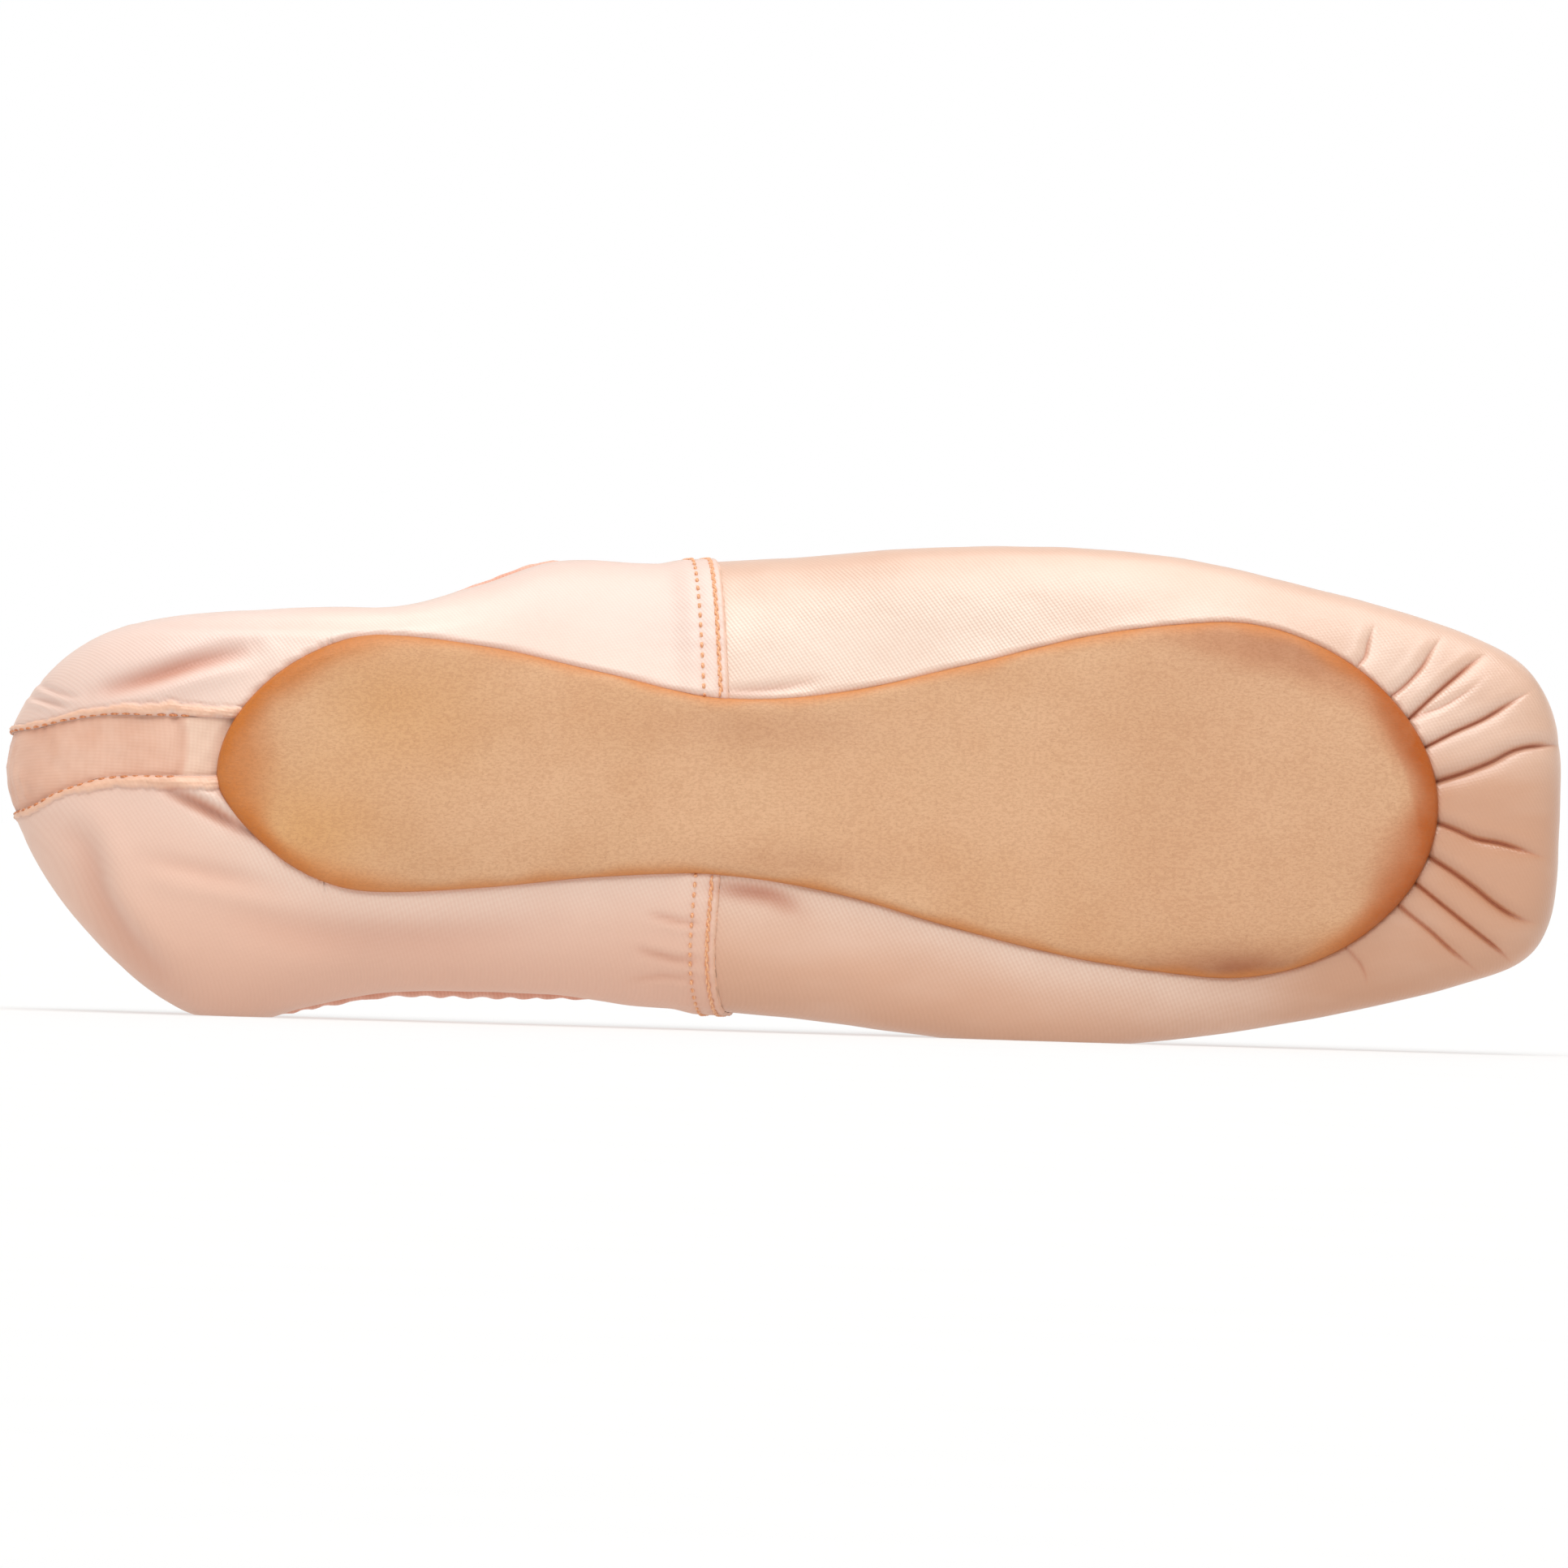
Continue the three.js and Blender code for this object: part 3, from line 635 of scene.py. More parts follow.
class Shader:
    """A material's node tree, built by short calls. Colours are sRGB ones out of 255."""

    def __init__(self, name):
        self.material = bpy.data.materials.new(name)
        self.material.use_nodes = True
        self.tree = self.material.node_tree
        self.bsdf = self.tree.nodes["Principled BSDF"]

    def node(self, kind, inputs=None, **settings):
        made = self.tree.nodes.new("ShaderNode" + kind)
        for key, value in settings.items():
            setattr(made, key, value)
        for key, value in (inputs or {}).items():
            self.put(made.inputs[key], value)
        return made

    def put(self, socket, value):
        if isinstance(value, bpy.types.NodeSocket):
            self.tree.links.new(value, socket)
        elif socket.type == "RGBA":
            socket.default_value = tone(*value)
        else:
            socket.default_value = value

    def place(self):
        return self.node("TexCoord").outputs["Object"]

    def attribute(self, name):
        return self.node("Attribute", attribute_name=name).outputs["Fac"]

    def math(self, operation, a, b=0.0, clamp=False):
        made = self.node("Math", operation=operation, use_clamp=clamp)
        self.put(made.inputs[0], a)
        self.put(made.inputs[1], b)
        return made.outputs[0]

    def times(self, a, b):
        return self.math("MULTIPLY", a, b)

    def span(self, value, low, high, to_low=0.0, to_high=1.0):
        limits = {"From Min": low, "From Max": high, "To Min": to_low, "To Max": to_high}
        made = self.node("MapRange", {"Value": value, **limits}, interpolation_type="SMOOTHSTEP")
        return made.outputs["Result"]

    def mix(self, share, a, b):
        made = self.node("Mix", data_type="RGBA", blend_type="MIX")
        for socket, value in ((0, share), (6, a), (7, b)):
            self.put(made.inputs[socket], value)
        return made.outputs[2]

    def colour_and_shade(self, color, *steps):
        """A colour turned towards others in turn: the material's own colours, and also painted light and shade.
        Each is given by an amount or an attribute's name, by the share of that amount, and by the colour."""
        for amount, share, tint in steps:
            if isinstance(amount, str):
                amount = self.attribute(amount)
            color = self.mix(self.math("MULTIPLY", amount, share, clamp=True), color, tint)
        return color

    def noise(self, size, detail=3.0, rough=0.5, stretch=(1, 1, 1)):
        """Noise whose features are about size millimetres across."""
        scale = tuple(s / (size * MM) for s in stretch)
        scaled = self.node("Mapping", {"Vector": self.place(), "Scale": scale}).outputs[0]
        made = self.node("TexNoise", {"Vector": scaled, "Scale": 1.0, "Detail": detail, "Roughness": rough})
        return made.outputs["Fac"]

    def bands(self, pitch, direction, wobble=None):
        """Waves from 0 to 1 across a direction, pitch millimetres apart."""
        length = math.sqrt(sum(d * d for d in direction))
        turn = tuple(d / length * TAU / (pitch * MM) for d in direction)
        dot = self.node("VectorMath", {0: self.place(), 1: turn}, operation="DOT_PRODUCT").outputs["Value"]
        if wobble is not None:
            dot = self.math("ADD", dot, wobble)
        wave = self.math("SINE", dot)
        return self.math("ADD", self.times(wave, 0.5), 0.5)

    def woven(self, first, second, share):
        """Two sets of threads, the first with a share of the height."""
        return self.math("ADD", self.times(first, share), self.times(second, 1 - share))

    def finish(self, color, roughness, bumps, **fixed):
        """The material, with bumps on top of each other, each given by a height, by how many millimetres that
        is and by its strength."""
        self.put(self.bsdf.inputs["Base Color"], color)
        self.put(self.bsdf.inputs["Roughness"], roughness)
        socket = self.bsdf.inputs["Normal"]
        for height, distance, strength in reversed(bumps):
            made = self.node("Bump", {"Height": height, "Distance": distance * MM, "Strength": strength})
            self.put(socket, made.outputs["Normal"])
            socket = made.inputs["Normal"]
        for key, value in fixed.items():
            self.put(self.bsdf.inputs[key.replace("_", " ")], value)
        return self.material


# Colours of the satin's painted highlight, of its painted sheen and of the painted shade in its folds.
SATIN_LIT = (246, 226, 210)
SATIN_SHEEN = (247, 226, 210)
FOLD_SHADE = (184, 92, 44)
# The streaks are painted sheen.
SHEEN_STREAK = 13.0  # size of the satin's soft streaks


def satin_cloth(name, light, deep, dark, weave, rough, sheen, gloss, sheen_mottle):
    """Twill-faced cloth: fine diagonal ribs, softly uneven colour, painted sheen in soft streaks and painted
    shade in its folds. Its colour also carries painted light and shade: light on the shoe's right side, which
    faces up, deep on the left one, which it lies on, and dark at the toe."""
    s = Shader(name)
    # Painted light and shade: deep low down on the left side, which the shoe lies on, darker still next to the
    # floor, and light towards the right side, which faces up.
    side = s.node("SeparateXYZ", {"Vector": s.place()}).outputs["Z"]
    deepest = s.mix(s.span(side, 0, 20 * MM, 0.5, 0.0), deep, dark)
    light = s.mix(s.span(side, 8 * MM, 64 * MM), deepest, light)
    # Painted shade: darker at the toe, except on its upper side.
    toe = s.span(s.node("SeparateXYZ", {"Vector": s.place()}).outputs["X"], 52 * MM, 94 * MM, 0.0, 0.75)
    light = s.mix(s.times(toe, s.span(side, 38 * MM, 57 * MM, 1.0, 0.0)), light, dark)
    deep = s.mix(0.5, light, dark)
    # A painted highlight beside the outsole and on the vamp's right flank.
    light = s.colour_and_shade(light, ("lit", 0.75, SATIN_LIT))
    wobble = s.times(s.noise(4.0, 2.0), 3.0)
    ribs = s.bands(weave, (0.8, 0.4, 0.5), wobble)
    threads = s.woven(ribs, s.bands(weave * 0.9, (0.3, -0.6, -0.9), wobble), 0.7)
    cloud = s.span(s.noise(22.0), 0.32, 0.7)
    fleck = s.span(s.noise(1.1, 2.0), 0.3, 0.75)
    color = s.colour_and_shade(light, (cloud, 0.28, deep), (threads, 0.42, deep), (fleck, 0.08, deep))
    # Soft streaks of painted sheen, paler, with painted darker streaks between them; they also vary the
    # roughness.
    sheen_streak = s.noise(SHEEN_STREAK, 2.5, 0.5, (0.5, 1.0, 1.5))
    color = s.mix(s.span(sheen_streak, 0.45, 0.75, 0.0, 0.5 * sheen_mottle), color, s.mix(0.45, light, SATIN_SHEEN))
    color = s.mix(s.span(sheen_streak, 0.25, 0.5, 0.5 * sheen_mottle, 0.0), color, deep)
    # A warmer tone where the warm attribute is set, and painted shade in folds, seams and grooves.
    color = s.colour_and_shade(color, ("warm", 0.7, (240, 186, 150)), ("shade", 0.85, FOLD_SHADE))
    roughness = s.math("ADD", s.times(sheen_streak, 0.2), rough - 0.06)
    bumps = ((threads, 0.05, 0.6), (s.noise(0.8), 0.03, 0.4), (s.noise(6.0), 0.18 + 0.1 * sheen_mottle, 0.5))
    shine = dict(Sheen_Weight=sheen, Sheen_Roughness=0.35, Sheen_Tint=(255, 232, 214))
    return s.finish(color, roughness, bumps, Specular_IOR_Level=gloss, **shine)


def lining_cloth():
    s = Shader("lining")
    threads = s.times(s.bands(0.55, (1, 0.15, 0.1)), s.bands(0.55, (-0.1, 1, 0.9)))
    color = s.colour_and_shade((250, 238, 224), (s.noise(14.0), 0.5, (236, 212, 188)), (threads, 0.18, (218, 186, 158)))
    bumps = ((threads, 0.06, 0.6), (s.noise(2.5), 0.10, 0.3))
    return s.finish(color, 0.85, bumps, Sheen_Weight=0.15, Specular_IOR_Level=0.25)


def sock_cloth():
    s = Shader("sock_cloth")
    cells = s.times(s.bands(0.6, (1, 0.0, 0.1)), s.bands(0.6, (0.1, 0.0, 1.0)))
    # Its shade attribute holds both real wear and painted shade.
    color = s.colour_and_shade((250, 240, 224), (s.noise(18.0), 0.5, (232, 212, 186)), ("shade", 0.7, (178, 146, 118)))
    color = s.colour_and_shade(color, (cells, 0.2, (190, 160, 130)))
    return s.finish(color, 0.88, ((cells, 0.06, 0.6),), Sheen_Weight=0.15, Specular_IOR_Level=0.2)


def elastic():
    s = Shader("elastic_strip")
    wobble = s.times(s.noise(5.0, 2.0), 2.0)
    threads = s.woven(s.bands(0.5, (0.12, 0.25, 1.0), wobble), s.bands(0.46, (1.0, 0.9, 0.0), wobble), 0.5)
    color = s.mix(s.span(s.noise(7.0), 0.3, 0.7), (231, 189, 166), (223, 175, 150))
    color = s.colour_and_shade(color, ("pale", 1.0, (236, 203, 181)), (threads, 0.12, (205, 135, 100)))
    color = s.colour_and_shade(color, ("shade", 0.6, (176, 100, 66)))
    bumps = ((threads, 0.05, 0.55), (s.noise(3.0), 0.12, 0.35))
    return s.finish(color, 0.62, bumps, Sheen_Weight=0.25, Sheen_Roughness=0.4, Specular_IOR_Level=0.3)


def tape():
    s = Shader("binding_tape")
    ribs = s.bands(0.55, (1.0, 0.1, 0.35))
    color = s.mix(s.span(s.noise(5.0), 0.3, 0.7), (246, 196, 174), (238, 178, 154))
    color = s.colour_and_shade(color, (ribs, 0.22, (200, 132, 106)), ("shade", 0.4, (186, 108, 80)))
    bumps = ((ribs, 0.06, 0.6), (s.noise(1.5), 0.08, 0.4))
    return s.finish(color, 0.7, bumps, Sheen_Weight=0.2, Specular_IOR_Level=0.3)


def thread(name, light, deep):
    s = Shader(name)
    twist = s.bands(0.35, (1.0, 0.8, 0.6))
    color = s.mix(twist, light, deep)
    return s.finish(color, 0.55, ((twist, 0.05, 0.5),), Sheen_Weight=0.2, Specular_IOR_Level=0.35)


def sole_leather():
    """Vegetable-tanned leather: fine grain, soft mottling, a burnished rim and rubbed-in stains."""
    s = Shader("sole_leather")
    broad = s.noise(34.0, 4.0, 0.55, (1, 1, 1.3))
    patch = s.noise(9.0, 4.0, 0.6)
    grain = s.noise(0.42, 3.0, 0.65, (0.7, 1.0, 1.4))
    pores = s.noise(0.36, 2.0)
    burnish = s.mix(s.attribute("ends"), (202, 122, 50), (174, 84, 16))
    color = s.colour_and_shade(
        s.mix(s.span(broad, 0.34, 0.66), (218, 173, 135), (209, 161, 121)),
        (s.span(patch, 0.4, 0.72), 0.2, (220, 180, 140)),
        ("pale", 0.5, (212, 166, 130)),
        ("yellow", 0.45, (214, 156, 84)),
        ("tan", s.span(patch, 0.2, 0.75, 0.3, 0.55), (190, 122, 84)),
        ("stain", s.span(patch, 0.2, 0.75, 0.5, 1.0), (150, 84, 52)),
        ("rim", s.span(patch, 0.15, 0.7, 0.8, 1.1), burnish),
        (s.span(grain, 0.42, 0.6), 0.2, (160, 100, 60)),
        (s.span(pores, 0.60, 0.72), 0.16, (140, 84, 48)),
    )
    roughness = s.math("SUBTRACT", 0.66, s.times(s.attribute("rim"), 0.16))
    bumps = ((grain, 0.12, 0.7), (pores, 0.05, 0.4), (patch, 0.15, 0.25))
    return s.finish(color, roughness, bumps, Specular_IOR_Level=0.35)


# ---- Pieces
TOE_LINES = 700
TOE_EDGE = 3.3  # girth lines where the toe's fan ends
SIDE_LINES = 118
VAMP_LOW = 52
VAMP_HIGH = 44
VAMP_BACK = 7.8  # the girth line that the vamp is laid out to, before its edge is drawn along the side seam
VAMP_LAP = 3.8  # how far behind the quarters' folded edges the vamp ends
VAMP_TUCK = 0.25  # how far the vamp is pressed in under the quarters
# A painted highlight on the vamp's right flank beside the outsole: full up to FLANK_LIT, gone from FLANK_PINK
# on, with its strength along x in the table below.
FLANK_LIT = 0.45  # the vamp's right flank is palest up to this share of the way to the widest line
FLANK_PINK = 0.98  # and no longer pale from here on
FLANK_HIGHLIGHT = {"x": (112, 165, 196, 216, 240), "lit": (1.0, 0.95, 0.2, 0.6, 0.3)}
QUARTER_LINES = 240
SEAM_LINES = 10  # more lines beside the folded edge
ROLL_LINES = 52  # and beside the strip
QUARTER_LOW = 58
QUARTER_HIGH = 56


def first_height(place):
    return (LASTED_MARGIN - SHOWN_MARGIN) / girth_value(LOW_LENGTH, place)


def grid_of(place, low, high):
    """Places and heights of a panel, one line of points for each place."""
    start = first_height(place)[:, None]
    lower = start + (1 - start) * np.linspace(0, 1, low, endpoint=False)[None, :]
    upper = np.broadcast_to(np.linspace(1, 2, high)[None, :], (len(place), high))
    height = np.concatenate([lower, upper], axis=1)
    return np.broadcast_to(place[:, None], height.shape), height


def steps_up(low, high):
    """Heights from near the opening underneath to the widest line, and on to the collar."""
    return np.concatenate([np.linspace(SHOWN_FROM, 1, low, endpoint=False), np.linspace(1, 2, high)])


def inner_wall(base, normal):
    inside = base - normal * wall_at(base[..., 0])[..., None]
    inside[..., 1] = np.minimum(inside[..., 1], PRESSED_SIDE - wall_at(inside[..., 0]))
    return inside


def finish_piece(piece, slot, *nodes):
    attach(piece, "root")
    if nodes:
        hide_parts(*nodes)


def wall_piece(name, walls, steps, materials, slot, node, **attributes):
    """A panel of cloth from its outside and its inside. The attributes are given for the outside."""
    points, faces, index, keep = shell(*walls, steps)
    kept = np.ix_(*keep)
    values = {key: np.concatenate([value.ravel(), value[kept].ravel()]) for key, value in attributes.items()}
    finish_piece(build(name, points, faces, materials, values, index), slot, node)


def seam_edge(height, side):
    """The x of a quarter's folded front edge at each height."""
    return between(SIDE_SEAM, "height", height, SIDES[side])


def seam_place(height, side):
    """The girth place of a quarter's folded front edge at each height."""
    places = HALF_TURN + side * np.linspace(6.0 - HALF_TURN, 9.0 - HALF_TURN, 301)
    x = surface(places[:, None], height[None, :])[..., 0]
    edge = seam_edge(height, side)
    return np.array([np.interp(-edge[k], -x[:, k], places) for k in range(len(height))])


def behind_seam(height, side, distance):
    """The girth place a distance behind the folded edge, at each height."""
    front = seam_place(height, side)
    here = surface(front, height)
    beyond = surface(front + side * 0.1, height)
    return front + side * distance * 0.1 / np.maximum(np.linalg.norm(beyond - here, axis=-1), 1e-6)


def make_vamp(satin, lining):
    """The vamp, round the toe from behind one side seam to behind the other."""
    toe = np.linspace(-TOE_EDGE, TOE_EDGE, TOE_LINES)
    side = np.linspace(TOE_EDGE, VAMP_BACK, SIDE_LINES + 1)[1:]
    place, height = grid_of(np.concatenate([-side[::-1], toe, side]), VAMP_LOW, VAMP_HIGH)
    share = np.clip((np.abs(place) - TOE_EDGE) / (VAMP_BACK - TOE_EDGE), 0, 1)
    left_end = behind_seam(height[-1], 1, VAMP_LAP)
    right_end = ALL_ROUND - behind_seam(height[0], -1, VAMP_LAP)
    end = np.where(place > 0, left_end[None, :], right_end[None, :])
    place = np.where(share > 0, np.sign(place) * (TOE_EDGE + share * (end - TOE_EDGE)), place)
    outer, shade, base, normal, lit = cloth(place, height)
    x = base[..., 0]
    right = -base[..., 1]
    sole_side = sole_half(x, -1)
    up_flank = (right - sole_side) / (section(x, "right") - sole_side)
    flank = (1 - smoothstep(up_flank, FLANK_LIT, FLANK_PINK)) * smoothstep(right, 2, 14) * (height < 1.2)
    # lit is a painted highlight: beside the outsole, fading out before the toe, and on the right flank.
    lit = np.maximum(lit * (1 - smoothstep(x, 178, 206)), flank * between(FLANK_HIGHLIGHT, "x", x, "lit"))
    fold = np.where(place > 0, seam_edge(height, 1), seam_edge(height, -1))
    outer -= normal * (VAMP_TUCK * (1 - smoothstep(x, fold - 1.5, fold + 0.3)))[..., None]
    walls = outer, inner_wall(base, normal)
    wall_piece("vamp", walls, (6, 5), [satin, lining], "satin", "upper", shade=shade, lit=lit)


def strip_edge(height, side):
    """The girth place of the strip's edge at each height."""
    places = np.linspace(HALF_TURN - 3.2, HALF_TURN + 3.2, 641)
    points = surface(places[:, None], height[None, :])
    spine = section(HEEL_ROUND, "widest")
    angle = np.degrees(np.arctan2(points[..., 2] - spine, points[..., 0] - HEEL_ROUND)) % 360
    beyond = points[..., 1] - between(STRIP, "angle", angle, SIDES[side])
    first = np.argmax(beyond < 0, axis=0)
    low = np.clip(first - 1, 0, len(places) - 1)
    j = np.arange(len(height))
    a = beyond[low, j]
    b = beyond[first, j]
    share = np.clip(a / np.where(np.abs(a - b) < 1e-9, 1, a - b), 0, 1)
    return places[low] + share * (places[first] - places[low])


SEAM_FOLD = 0.5  # the folded edge's roundness
SEAM_WIDE = (4.6, 9.0)  # and where the cloth behind it comes down to the last
ROW_WIDE = 0.55  # how wide a row of stitches pulls the cloth in
SEAM_ROLL = 0.62  # height of the rolled seam beside the strip, next to the outsole
ROLL_HALF = 1.0  # and its half width
ROLL_THIN = 0.5  # the share of both that is left at the back of the heel
ROLL_KINK = 25.6  # x where the right-hand roll kinks
PUCKER = 1.9  # pitch of the pulled stitches along it


def make_quarter(side, satin, lining):
    """A quarter: from its folded front edge over the vamp to the rolled seam beside the heel's strip."""
    height = steps_up(QUARTER_LOW, QUARTER_HIGH)
    edge = strip_edge(height, side)
    front = seam_place(height, side)
    spread = ((0, 0.02, SEAM_LINES), (0.02, 0.9, QUARTER_LINES), (0.9, 1, ROLL_LINES))
    share = np.concatenate([[0], *(np.linspace(*stretch)[1:] for stretch in spread)])
    place = front[None, :] + (edge - front)[None, :] * share[:, None]
    height = np.broadcast_to(height[None, :], place.shape)
    outer, shade, base, normal, lit = cloth(place, height)
    x = base[..., 0]
    from_seam = lengths(base)
    from_strip = lengths(base[::-1])[::-1]
    up = lengths(base, axis=1)
    over = SEAM_LIFT * quarter_round(from_seam / SEAM_FOLD) * (1 - smoothstep(from_seam, *SEAM_WIDE))
    dimple = sum(hump(from_seam, row, ROW_WIDE) for row in SEAM_ROWS)
    pull = 0.5 + 0.5 * np.cos(TAU * up / STITCH_PITCH)
    over -= 0.16 * dimple * (0.4 + 0.6 * pull)
    over += 0.07 * np.exp(-from_seam / 5.0) * np.sin(TAU * up / 3.6 + 1.3 * ripple(base, 12, 8))
    full = ROLL_THIN + (1 - ROLL_THIN) * smoothstep(x, 3, 27)
    wander = 0.16 * ripple(base, 4.0, 11) + 0.12 * np.sin(TAU * up / PUCKER)
    if side < 0:
        wander = wander + 0.75 * hump(x, ROLL_KINK, 1.3)
    off_roll = (from_strip - (1.15 * full + wander)) / (ROLL_HALF * full)
    roll = np.clip(1 - off_roll**2, 0, 1) ** 0.6
    twist = np.sin(TAU * up / PUCKER + 1.5 * off_roll)
    pucker = 1 + 0.22 * twist + 0.14 * ripple(base, 2.6, 12)
    ridged = 0.12 * np.cos(TAU * off_roll * 1.5)
    over += SEAM_ROLL * full * roll * (pucker + ridged) - 0.4 * hump(from_strip, 0, 0.3)
    over -= 0.16 * hump(off_roll, 1.25, 0.3)
    # Painted shade beside the strip, beside the roll, in the puckers, along the folded edge and in the stitch
    # dimples.
    shade = shade + 0.30 * hump(from_strip, 0, 0.3) + 0.22 * hump(off_roll, 1.1, 0.22)
    shade = shade + 0.12 * roll * np.clip(-twist, 0, 1)
    shade = shade + 0.10 * hump(from_seam, 0, 0.2) + 0.10 * dimple * pull
    warm = roll + 1.1 * hump(from_seam, 0, 0.35)
    outer = outer + normal * over[..., None]
    outer[..., 1] = np.minimum(outer[..., 1], PRESSED_SIDE)
    # Over the vamp the quarter is one thin layer. Behind the vamp's edge it has the whole wall's thickness.
    lapped = smoothstep(from_seam, VAMP_LAP + 1.0, VAMP_LAP + 1.8)[..., None]
    inside = (base + normal * 0.12) * (1 - lapped) + inner_wall(base, normal) * lapped
    inside[..., 1] = np.minimum(inside[..., 1], PRESSED_SIDE - 0.1)
    # Both quarters' lines run the same way round the shoe.
    walls = outer[::side], inside[::side]
    # lit, the painted highlight beside the outsole, is weaker on the quarters.
    values = dict(shade=np.clip(shade, 0, 1)[::side], warm=warm[::side], lit=0.7 * lit[::side])
    wall_piece("quarter_" + SIDES[side], walls, (3, 4), [satin, lining], "satin", "upper", **values)


STRIP_FOLD = 27.0  # where the strip is folded across, beside the outsole
STRIP_SWELL = 0.25  # how far its middle stands out
# STRIP_EDGE sets the painted shade beside each quarter.
STRIP_EDGE = 0.05  # the share of its width that is dark beside each quarter


def make_strip(material, lining):
    """The elastic strip up the middle of the heel, between the quarters."""
    height = steps_up(116, 70)
    left = strip_edge(height, 1)
    right = strip_edge(height, -1)
    share = np.linspace(0, 1, 44)
    place = left[None, :] + (right - left)[None, :] * share[:, None]
    height = np.broadcast_to(height[None, :], place.shape)
    base = surface(place, height)
    normal = outward(base)
    across = np.broadcast_to(share[:, None], base.shape[:-1])
    lift = -STRIP_DEPTH + STRIP_SWELL * (1 - (2 * across - 1) ** 2)
    lift += 0.12 * ripple(base, 8.0, 21) + 0.05 * ripple(base, 3.5, 22)
    under = base[..., 2] < section(HEEL_ROUND, "widest")
    step = (base[..., 0] - STRIP_FOLD - 0.8 * np.sin(3 * across)) * under
    lift += (0.25 * smoothstep(step, -0.5, 0.6) - 0.2 * hump(step, -0.6, 0.7)) * under
    lift += 0.05 * np.sin(TAU * lengths(base, axis=1) / 3.1 + 2 * ripple(base, 11, 23))
    pale = smoothstep(step, 0.3, 1.2) * under
    # Painted shade: before the fold, low at the back of the heel, beside each quarter and beside the outsole.
    shade = 0.2 * hump(step, -0.4, 0.6) * under
    shade += 0.2 * hump(base[..., 0], 4.0, 2.0) * (base[..., 2] < 26)
    shade += 0.35 * (hump(across, 0, STRIP_EDGE) + hump(across, 1, STRIP_EDGE))
    shade += 0.5 * under * hump(sole_gap(base[..., 0], base[..., 1]), 0, 0.9)
    walls = base + normal * lift[..., None], base - normal * (QUARTER_WALL - 0.2)
    values = dict(shade=shade, pale=pale)
    wall_piece("heel_elastic", walls, (4, 6), [material, lining], "elastic", "heel_strip", **values)


BINDING_STEPS = 980
BINDING_SIDES = 20
GATHER = 5.0  # pitch of the gathers along the collar
FINE_GATHER = 2.3  # and of the small ones between
SCALLOP = 4.7  # pitch at which the tape sways in and out
TAPE_WIDE = 3.1
TAPE_LAP = 1.8  # how far the tape laps down over the collar
TAPE_SQUARE = 0.55  # below 1 its section is boxy


def make_binding(material):
    """A folded tape over the collar's edge, gathered along its length. It sways most on the left side."""
    place = np.linspace(0, ALL_ROUND, BINDING_STEPS, endpoint=False)[:, None]
    edge, _, _, normal, _ = cloth(place, np.full((BINDING_STEPS, 1), 2.0))
    before = cloth(place, np.full((BINDING_STEPS, 1), 1.94))[0]
    edge, before, normal = edge[:, 0], before[:, 0], normal[:, 0]
    up = unit(edge - before)
    middle = edge - normal * (wall_at(edge[:, 0]) / 2)[:, None]
    turns = TAU * lengths(middle)
    wave = np.sin(turns / GATHER + 1.6 * ripple(middle, 17, 31))
    second = np.sin(turns / FINE_GATHER + 2.5 * ripple(middle, 9, 32))
    scallop = np.sin(turns / SCALLOP + 2.2 * ripple(middle, 21, 34))
    puff = 0.03 * wave + 0.02 * second
    sway = 0.10 * ripple(middle, 12, 33) + (0.04 + 0.12 * smoothstep(middle[:, 1], 8, 24)) * scallop
    top = GAP + BINDING_TALL
    tall = (top + TAPE_LAP) / 2
    angle = np.linspace(0, TAU, BINDING_SIDES, endpoint=False)
    out, rise = (np.sign(v) * np.abs(v) ** TAPE_SQUARE for v in (np.cos(angle), np.sin(angle)))
    centre = middle + up * (top - tall)
    bulge = (TAPE_WIDE / 2 + puff)[:, None] * out[None, :] + sway[:, None]
    lifted = (tall - 0.15 + 0.06 * wave + 0.02 * second)[:, None] * rise[None, :]
    points = centre[:, None, :] + normal[:, None, :] * bulge[..., None] + up[:, None, :] * lifted[..., None]
    points[..., 1] = np.minimum(points[..., 1], PRESSED_SIDE)
    # Painted shade in the hollows of the gathers and on the tape's underside.
    shade = np.clip(-wave, 0, 1)[:, None] * 0.22 + 0.5 * np.clip(-rise, 0, 1)[None, :] ** 2
    index = np.arange(BINDING_STEPS * BINDING_SIDES).reshape(BINDING_STEPS, BINDING_SIDES)
    faces = quads(np.pad(index, ((0, 1), (0, 1)), mode="wrap"), "adcb")
    piece = build("collar_tape", points, faces, [material], {"shade": np.clip(shade, 0, 1)})
    finish_piece(piece, "tape", "collar_binding")


# ---- Plates: rings of points from the edge in to a spine
def outline(inset, count, share=1.0):
    """The outsole's outline, drawn in by inset: a spine point, a direction and a distance for each point."""
    heel = SOLE_HEEL + inset + 15
    toe = SOLE_TOE - inset - 25
    part = count // 4
    straight = np.linspace(toe, heel, part)
    spine = np.concatenate([straight, np.full(part, heel), straight[::-1], np.full(part, toe)])
    left, right = np.full(part, 0.5 * math.pi), np.full(part, 1.5 * math.pi)
    round_heel = np.linspace(0.5, 1.5, part) * math.pi
    round_toe = np.linspace(-0.5, 0.5, part) * math.pi
    turn = np.concatenate([left, round_heel, right, round_toe])
    direction = np.stack([np.cos(turn), np.sin(turn)], axis=-1)
    side = np.where(direction[:, 1] > 0, 1, -1)

    def held(distance):
        px, py = spine + direction[:, 0] * distance, direction[:, 1] * distance
        within = (px > SOLE_HEEL + inset) & (px < SOLE_TOE - inset)
        return within & (np.abs(py) < sole_half(px, side) * share)

    keep = np.ones(len(turn), bool)
    keep[[part, 2 * part, 3 * part]] = False
    return spine[keep], direction[keep], farthest(held, np.full(len(turn), SOLE_REACH), 30)[keep]


